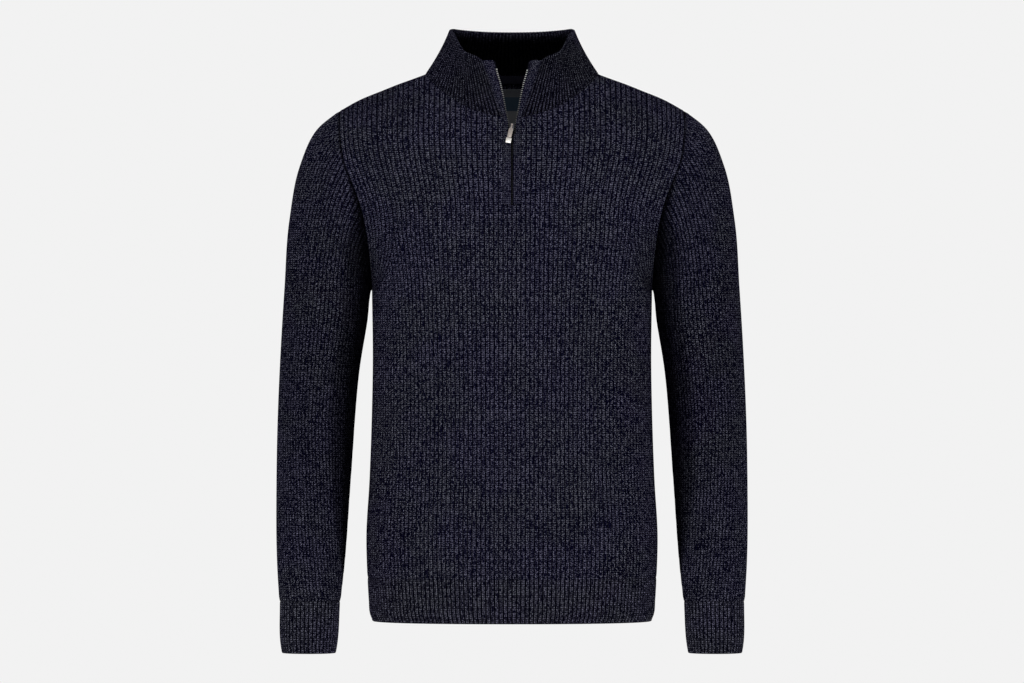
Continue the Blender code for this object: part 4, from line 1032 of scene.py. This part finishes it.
def stripSurface(edge, z, trim, lap, front, back, crown, ridge):
    # a squared oval across, carried up the zip; ridges cross its front and both ends round off
    outer, inner, across, up, out = zipFrame(edge, z)
    start, end = outer + across * trim, inner + across * lap
    end[:, 0] = np.maximum(end[:, 0], strip["innerLimit"])
    fromEnd = np.minimum(z - z[0], z[-1] - z)
    rounded = np.sqrt(1 - (1 - np.clip(fromEnd / strip["cap"], 0, 1)) ** 2)[:, None]
    turn = fullTurn(strip["around"])
    t = 0.5 - 0.5 * roundPower(np.cos(turn), strip["square"]) * np.sqrt(rounded)
    side = roundPower(np.sin(turn), strip["square"])
    ribs = ((z - z[0]) / strip["ridgePitch"])[:, None]
    relief = crown * 4 * t * (1 - t) * rounded - ridge * (1 - ribShape(ribs))
    high = (front + back) / 2 + (front - back) / 2 * side * rounded + np.clip(side, 0, 1) * relief
    points = (start[:, None] * (1 - t[..., None]) + end[:, None] * t[..., None]
              + out[:, None] * high[..., None])
    width = np.linalg.norm(end - start, axis=1)[:, None]
    uv = stack(ribs, t * width / strip["stitchWidth"])
    # painted shade: dark inner edges where the zip is closed, for the shadowed gap between the
    # strips, darker long edges where they meet the panel and the slot, and the insides' shade on
    # the back
    closed = (strip["closedShade"] * fade(z, *strip["closedFrom"])[:, None]
              * fade((1 - t) * width, *strip["closedWidth"]))
    dark, fall = strip["edgeDark"]
    shade = (1 - dark * (1 - np.sin(np.pi * np.clip(t, 0, 1)) ** fall)) * (1 - closed)
    shade = np.where(side > strip["frontTo"], shade, cloth["insideShade"])
    return points, uv, shade, end - start


def buildStrips(edge, knitTrim, tapeCloth):
    z = np.arange(stripCut["z"][0], stripCut["z"][-1] + 0.01, strip["rowStep"])
    zTape = np.linspace(z[0], z[-1], int((z[-1] - z[0]) / tape["rowStep"]))
    back = strip["proud"] - strip["thick"]
    front = back - tape["setBack"]
    pieces = (("strip_", "placket_", "knit_trim", knitTrim, stripSurface(
                  edge, z, -strip["lap"], 0.0, strip["proud"], back, strip["crown"],
                  strip["ridgeHeight"])),
              ("tape_", "zip_tape_", "tape", tapeCloth, stripSurface(
                  edge, zTape, tape["trim"], tape["lap"], front, front - tape["thick"], 0.0, 0.0)))
    for name, flip in (("left", 1), ("right", -1)):
        for label, node, slotName, material, (points, uv, shade, across) in pieces:
            mesh = Mesh()
            mesh.grid(points * [flip, 1, 1], uv * [1, flip], shade)
            piece = mesh.make(label + name, material, "garment", slotName, node + name)
            edges = np.stack([points[:, 0], points[:, 0] + across], axis=1)
            declareCloth(piece, edges, 1)


def superEllipsoid(size, power, levels=7, around=10):
    # x, y and z are signed powers of the cosines and sines of two angles
    a = np.linspace(-math.pi / 2, math.pi / 2, levels)[:, None]
    b = fullTurn(around)
    wide = roundPower(np.cos(a), power)
    return stack(wide * roundPower(np.cos(b), power), wide * roundPower(np.sin(b), power),
                 roundPower(np.sin(a), power)) * np.array(size) / 2


def buildTeeth(edge, material):
    # one row of rounded blocks on the edge of each tape, half a pitch apart from the other's
    block = superEllipsoid(teeth["size"], teeth["square"])
    middle = strip["proud"] - strip["thick"] - tape["setBack"] - tape["thick"] / 2
    for name, flip, shift in (("left", 1, 0.0), ("right", -1, 0.5)):
        z = np.arange(teeth["first"] + shift * teeth["pitch"], teeth["last"], teeth["pitch"])
        outer, inner, across, up, out = zipFrame(edge, z)
        place = inner + across * teeth["reach"] + out * middle
        place[:, 0] = np.maximum(place[:, 0], teeth["inSlot"])
        mesh = Mesh()
        for k, shade in enumerate(np.interp(z, teethLight["z"], teethLight["shade"])):
            tooth = place[k] + block @ np.stack([across[k], up[k], out[k]])
            mesh.grid(tooth * [flip, 1, 1], shade=shade)
        mesh.make("teeth_" + name, material, "garment", "metal")


# The slider and its pull tab.

slider = {
    "height": -69.0, "size": (6.2, 9.4, 3.4), "back": -2.1, "taper": 0.16,
    "edges": (0.6, 0.45),               # rounding of an edge, and exponent of the corners
    "lug": (0.9, 2.4, 2.9), "lugEdges": (0.2, 0.6), "lugSpacing": 3.9, "lugSink": 0.4,
    "pinAlong": 2.2, "pinLift": 1.75, "pinRadius": 0.5, "pinEnds": 0.5,
    "settle": (0.0, 0.1194, -0.1962),   # up and in, so that its pin is the joint's axis
}
pull = {
    "eye": (1.075, 0.275), "eyeWidth": 2.2,     # middle radius and half thickness of its ring
    # width, start and end from the pin, thickness, rounding of an edge, exponent of the corners
    "neck": (1.8, 1.3, 5.8, 1.08, 0.25, 0.5),
    "plate": (5.4, 5.0, 17.9, 1.2, 0.3, 0.3),
    "notch": (3.0, 17.4, 19.4, 0.9, 0.2, 0.4), "notchShade": 0.25,
    "block": (6.8, 18.7, 25.6, 2.2, 0.45, 0.25),
    "lean": 11.0,                               # degrees towards the wearer's right
}
metalSharp = 50.0                               # degrees from which an edge of metal is sharp


def sliderAxes(edge):
    # local x across, y up the front and z out of it
    at = slider["height"] + np.array([0.0, 3.0, -3.0])
    middle, high, low = pick(edge[:, 2], at, edge) * [0, 1, 1]
    up = unit(high - low)
    axes = np.stack([(1.0, 0.0, 0.0), up, np.cross((1.0, 0.0, 0.0), up)])
    return middle + np.array(slider["settle"]) @ axes, axes


def roundedPlate(width, length, thick, edge, corner, taper=0.0, around=40):
    # rings of a squared oval, stacked from back to front and drawn in over both rounded edges
    bend = np.linspace(0, math.pi / 2, 4)
    inset = edge * (1 - np.concatenate([np.sin(bend), np.cos(bend)]))[:, None]
    height = np.concatenate([edge * (1 - np.cos(bend)) - thick / 2,
                             thick / 2 - edge * (1 - np.sin(bend))])[:, None]
    turn = fullTurn(around)
    x, y = roundPower(np.cos(turn), corner), roundPower(np.sin(turn), corner)
    rings = stack((width / 2 - inset) * x * (1 + taper * y), (length / 2 - inset) * y, height)
    return np.concatenate([rings[:1] * [0, 0, 1], rings, rings[-1:] * [0, 0, 1]])


def roundRod(radius, length, around=20):
    # a round bar along x with softened ends
    half, soft = length / 2, radius * 0.3
    along = np.array([-half, -half, soft - half, half - soft, half, half])[:, None]
    size = np.array([0, radius - soft, radius, radius, radius - soft, 0])[:, None]
    turn = fullTurn(around)
    return stack(along, size * np.cos(turn), size * np.sin(turn))


def eyeRing(radius, thick, width, around=28):
    # a flattened ring about x: a squared oval carried round the pin
    turn, section = fullTurn(around)[:, None], fullTurn(12)
    r = radius + thick * roundPower(np.sin(section), 0.7)
    return stack(width / 2 * roundPower(np.cos(section), 0.5), r * np.cos(turn), r * np.sin(turn))


def buildSlider(middle, axes, material):
    face = slider["size"][2] + slider["back"]
    mesh = Mesh()
    plate = roundedPlate(*slider["size"], *slider["edges"], slider["taper"])
    plate[..., 0] /= 1 + slider["taper"]
    plate[..., 2] += slider["back"] + slider["size"][2] / 2
    mesh.grid(middle + plate @ axes)
    wide, long, high = slider["lug"]
    for side in (-1, 1):
        lug = roundedPlate(high, long, wide, *slider["lugEdges"])[..., (2, 1, 0)]
        place = (side * slider["lugSpacing"] / 2, slider["pinAlong"],
                 face + high / 2 - slider["lugSink"])
        mesh.grid(middle + (lug + place) @ axes)
    pin = np.array([0, slider["pinAlong"], face + slider["pinLift"]])
    rod = roundRod(slider["pinRadius"], slider["lugSpacing"] + slider["pinEnds"])
    mesh.grid(middle + (rod + pin) @ axes)
    mesh.make("slider", material, "garment", "metal", "zip_slider", sharp=metalSharp)
    return pin


def buildPull(middle, axes, pin, aged, bright):
    lean = math.radians(pull["lean"])
    down = np.array([-math.sin(lean), -math.cos(lean), 0])
    tilt = np.stack([(math.cos(lean), -math.sin(lean), 0), -down, (0, 0, 1)])

    def stretch(width, start, end, thick, edge, corner):
        plate = roundedPlate(width, end - start, thick, edge, corner)
        return middle + (pin + down * (start + end) / 2 + plate @ tilt) @ axes

    mesh = Mesh()
    mesh.grid(middle + (eyeRing(*pull["eye"], pull["eyeWidth"]) + pin) @ axes)
    mesh.grid(stretch(*pull["neck"]))
    mesh.grid(stretch(*pull["plate"]))
    # painted shade in the notch between the plate and the end block
    mesh.grid(stretch(*pull["notch"]), shade=pull["notchShade"])
    mesh.make("pull_plate", aged, "pull_tab", "metal", "zip_pull", sharp=metalSharp)
    mesh = Mesh()
    mesh.grid(stretch(*pull["block"]))
    mesh.make("pull_end", bright, "pull_tab", "metal", sharp=metalSharp)


# The tape and the label inside the neck.

neckTrim = {
    "gap": 1.3, "thick": 0.8, "tapeTop": 1.5, "tapeDrop": 12.0, "tapeShare": 0.45,
    "labelHalf": 29.0, "labelTop": -13.0, "labelBottom": -57.0,
    "bandTop": -22.5, "bandBottom": -40.0, "bandEdge": 0.4,     # the label's woven band
    # painted shade: the label's greys and band are darkened, as it hangs inside the neck; the field
    # is also darker towards the top
    "field": ((0.075, 0.077, 0.083), (0.036, 0.039, 0.045)),    # the label's greys, low and high
    "fieldFade": (-50.0, -14.0),
    "band": (0.0145, 0.0250, 0.0390),
    "rows": 44, "columnStep": 6,    # of the back's sheet that the pieces follow
    "labelShare": 0.5, "tapeRows": 9, "labelRows": 45, "labelColumns": 25, "sharp": 40.0,
    "threadPitch": 0.5, "warpPitch": 0.6, "threadDark": 0.35, "threadBump": 0.00008,
}
twillLook = {"lines": 900.0, "low": (0.0015, 0.0015, 0.0035), "high": (0.0070, 0.0070, 0.0110),
             "bump": 0.0001}
metalLook = {"patches": 900.0, "patchRange": (0.45, 0.75), "dull": 0.45,
             "scratches": 4200.0, "scratchRoughness": 0.15, "scratchBump": 0.00003}


def insideColumns(sheet, normals, last):
    # the smooth inside of the back, only its upper part, from the middle out to a share
    count = int(last * (sheet.shape[1] - 1)) + 1
    return [grid[-neckTrim["rows"]:, :count:neckTrim["columnStep"]] for grid in (sheet, normals)]


def buildTrim(name, node, points, ways, slotName, material):
    # a flat piece moved in from the inside of the cloth, closed along its four edges
    points, ways = wholeOf(points), wholeOf(unit(ways))
    near = cloth["wall"] + neckTrim["gap"]
    uv = points[..., (0, 2)]
    mesh = Mesh()
    a, b = (mesh.grid(points - ways * depth, uv) for depth in (near, near + neckTrim["thick"]))
    for row in (0, -1):
        mesh.rim(a[row], b[row])
        mesh.rim(a[:, row], b[:, row])
    piece = mesh.make(name, material, "garment", slotName, node, sharp=neckTrim["sharp"])
    declareCloth(piece, points, 1)


def buildNeckTrim(sheet, normals, tapeCloth, labelCloth):
    # the tape hangs a little way below the neck seam, the label between two heights
    grids = [grid[::-1] for grid in insideColumns(sheet, normals, neckTrim["tapeShare"])]
    at = np.linspace(neckTrim["tapeDrop"], neckTrim["tapeTop"], neckTrim["tapeRows"])
    tapeGrids = [columnsAt(runUp(grids[0]), at, grid) for grid in grids]
    buildTrim("neck_tape_twill", "neck_tape", *tapeGrids, "tape", tapeCloth)
    grids = insideColumns(sheet, normals, neckTrim["labelShare"])
    levels = np.linspace(neckTrim["labelBottom"], neckTrim["labelTop"], neckTrim["labelRows"])
    flat, turned = (columnsAt(grids[0][..., 2], levels, grid) for grid in grids)
    x = np.linspace(0, neckTrim["labelHalf"], neckTrim["labelColumns"])
    labelGrids = [np.stack([pick(row[:, 0], x, values) for row, values in zip(flat, grid)])
                  for grid in (flat, turned)]
    buildTrim("label_bare", "neck_label", *labelGrids, "label", labelCloth)


def tapeMaterial():
    # a close twill: fine slanting lines on near-black
    r = Recipe("darkTwill")
    place = r.split(r.place())
    line = r.hump(r.times(r.math("ADD", place["X"], place["Z"]), twillLook["lines"]))
    colour = r.mix(line, twillLook["low"], twillLook["high"])
    return r.finish(r.shade(colour), 0.9, r.bump(line, twillLook["bump"]))


def labelMaterial():
    # U and V are millimetres across and up: a grey field with one plain teal band, no writing
    r = Recipe("bareLabel")
    u, v = r.uv()
    low, high, soft = neckTrim["bandBottom"], neckTrim["bandTop"], neckTrim["bandEdge"]
    band = r.times(r.range(v, low - soft, low + soft), r.range(v, high + soft, high - soft))
    # painted shade: the field's greys are darkened, more towards the top
    grey = r.mix(r.range(v, *neckTrim["fieldFade"]), *neckTrim["field"])
    colour = r.mix(band, grey, neckTrim["band"])
    thread = r.math("SINE", r.times(v, 2 * math.pi / neckTrim["threadPitch"]))
    warp = r.math("SINE", r.times(u, 2 * math.pi / neckTrim["warpPitch"]))
    weave = r.times(r.math("ADD", r.times(thread, warp), 1.0), 0.5)
    woven = r.mix(weave, r.mix(neckTrim["threadDark"], colour, (0.0, 0.0, 0.0)), colour)
    return r.finish(woven, 0.55, r.bump(weave, neckTrim["threadBump"]), specular=0.1)


def metalMaterial(name, colour, roughness, wear):
    # small scratches and patches of tarnish
    r = Recipe(name)
    patches = r.noise(r.place(), metalLook["patches"], 3.0)
    scratches = r.noise(r.place(), metalLook["scratches"])
    dull = tuple(metalLook["dull"] * channel for channel in colour)
    shade = r.mix(r.times(r.range(patches, *metalLook["patchRange"]), wear), colour, dull)
    rough = r.math("ADD", roughness, r.times(scratches, metalLook["scratchRoughness"]))
    return r.finish(r.shade(shade), rough, r.bump(scratches, metalLook["scratchBump"]),
                    metallic=1.0, specular=0.5)


# Now the pieces themselves.

knit = knitMaterial("navyMarlRib")
bandKnit = knitMaterial("navyMarlBand", 0.67, bandYarn)
collarKnit = knitMaterial("navyMarlCollar", 0.66, collarYarn)
# painted light: a brighter copy of the body's knit, for the zip's strips
trimKnit = knitMaterial("navyMarlTrim", 1.1)
panels = {face: buildPanel(face, knit) for face in ("front", "back")}
for face in panels:
    buildHem(face, bandKnit)
print("panels and hem made")
surface = sleeveSurface()
for side, flip in (("left", 1), ("right", -1)):
    buildSleeve(side, flip, surface, knit)
    buildCuff(side, flip, bandKnit)
print("sleeves and cuffs made")
buildCollar(collarKnit)
print("collar made")
nickel = metalMaterial("brightNickel", (0.78, 0.75, 0.70), 0.22, 0.3)
agedNickel = metalMaterial("agedNickel", (0.27, 0.24, 0.22), 0.38, 0.8)
gunmetal = metalMaterial("gunmetal", (0.070, 0.070, 0.078), 0.45, 0.6)
silver = metalMaterial("silverTeeth", (0.85, 0.85, 0.84), 0.35, 0.1)
twill = tapeMaterial()
zipLine = zipEdge(panels["front"][0])
buildStrips(zipLine, trimKnit, twill)
buildTeeth(zipLine, silver)
middle, axes = sliderAxes(zipLine)
pin = buildSlider(middle, axes, gunmetal)
buildPull(middle, axes, pin, agedNickel, nickel)
buildNeckTrim(*panels["back"], twill, labelMaterial())
print("zip, label and tape made")


# The studio: floor, light and camera.

studio = {
    "cameraHeight": -331.7, "cameraDistance": 8000.0, "frameWidth": 1269.8,
    "floorHeight": -1200.0, "floorRadius": 6000.0, "floorSides": 96,
    "backdrop": 0.887, "ambient": 0.55,
    "aim": (0.0, 0.0, -0.3),
    "lamps": (("key", (0.0, -4.0, 1.3), 2.6, 130.0),        # name, place, size and watts
              ("leftFill", (-3.2, -2.6, 0.3), 2.0, 30.0),
              ("rightFill", (3.2, -2.6, 0.3), 2.0, 30.0),
              ("back", (0.0, 4.0, 1.3), 2.6, 80.0)),
}


def makeWorld():
    # white light all round, and a plain pale backdrop where the camera sees it
    r = Recipe("paleStudio", "worlds")
    seen = r.tree.nodes["Background"]
    r.feed(seen, {"Color": (studio["backdrop"],) * 3})
    lit = r.add("Background", {"Color": (1.0, 1.0, 1.0), "Strength": studio["ambient"]})[0]
    straight = r.add("LightPath")["Is Camera Ray"]
    r.feed(r.tree.nodes["World Output"], r.add("MixShader", (straight, lit, seen.outputs[0])))
    bpy.context.scene.world = r.owner


def makeCamera():
    camera = bpy.data.cameras.new("camera")
    camera.sensor_width = 36.0
    camera.lens = camera.sensor_width * studio["cameraDistance"] / studio["frameWidth"]
    camera.clip_end = 100.0
    view = addObject("camera", camera)
    view.location = (0.0, -studio["cameraDistance"] * mm, studio["cameraHeight"] * mm)
    view.rotation_euler = (math.pi / 2, 0.0, 0.0)
    bpy.context.scene.camera = view


def makeLamps():
    for name, place, size, power in studio["lamps"]:
        lamp = bpy.data.lights.new(name, "AREA")
        lamp.shape = "SQUARE"
        lamp.size = size
        lamp.energy = power
        light = addObject(name, lamp)
        light.location = place
        x, y, z = np.array(studio["aim"]) - np.array(place)
        light.rotation_euler = (math.atan2(math.hypot(x, y), -z), 0.0, math.atan2(-x, y))


def makeFloor():
    sides = studio["floorSides"]
    turn = fullTurn(sides)[:-1]
    mesh = bpy.data.meshes.new("floor")
    radius = studio["floorRadius"]
    ring = stack(radius * np.cos(turn), radius * np.sin(turn), studio["floorHeight"]) * mm
    mesh.from_pydata(ring.tolist(), [], [list(range(sides))])
    mesh.materials.append(Recipe("paleFloor").finish((0.82, 0.82, 0.82), 0.9))
    addObject("floor", mesh)


bpy.context.scene.view_settings.view_transform = "Standard"
makeWorld()
makeCamera()
makeLamps()
makeFloor()
print("studio made")
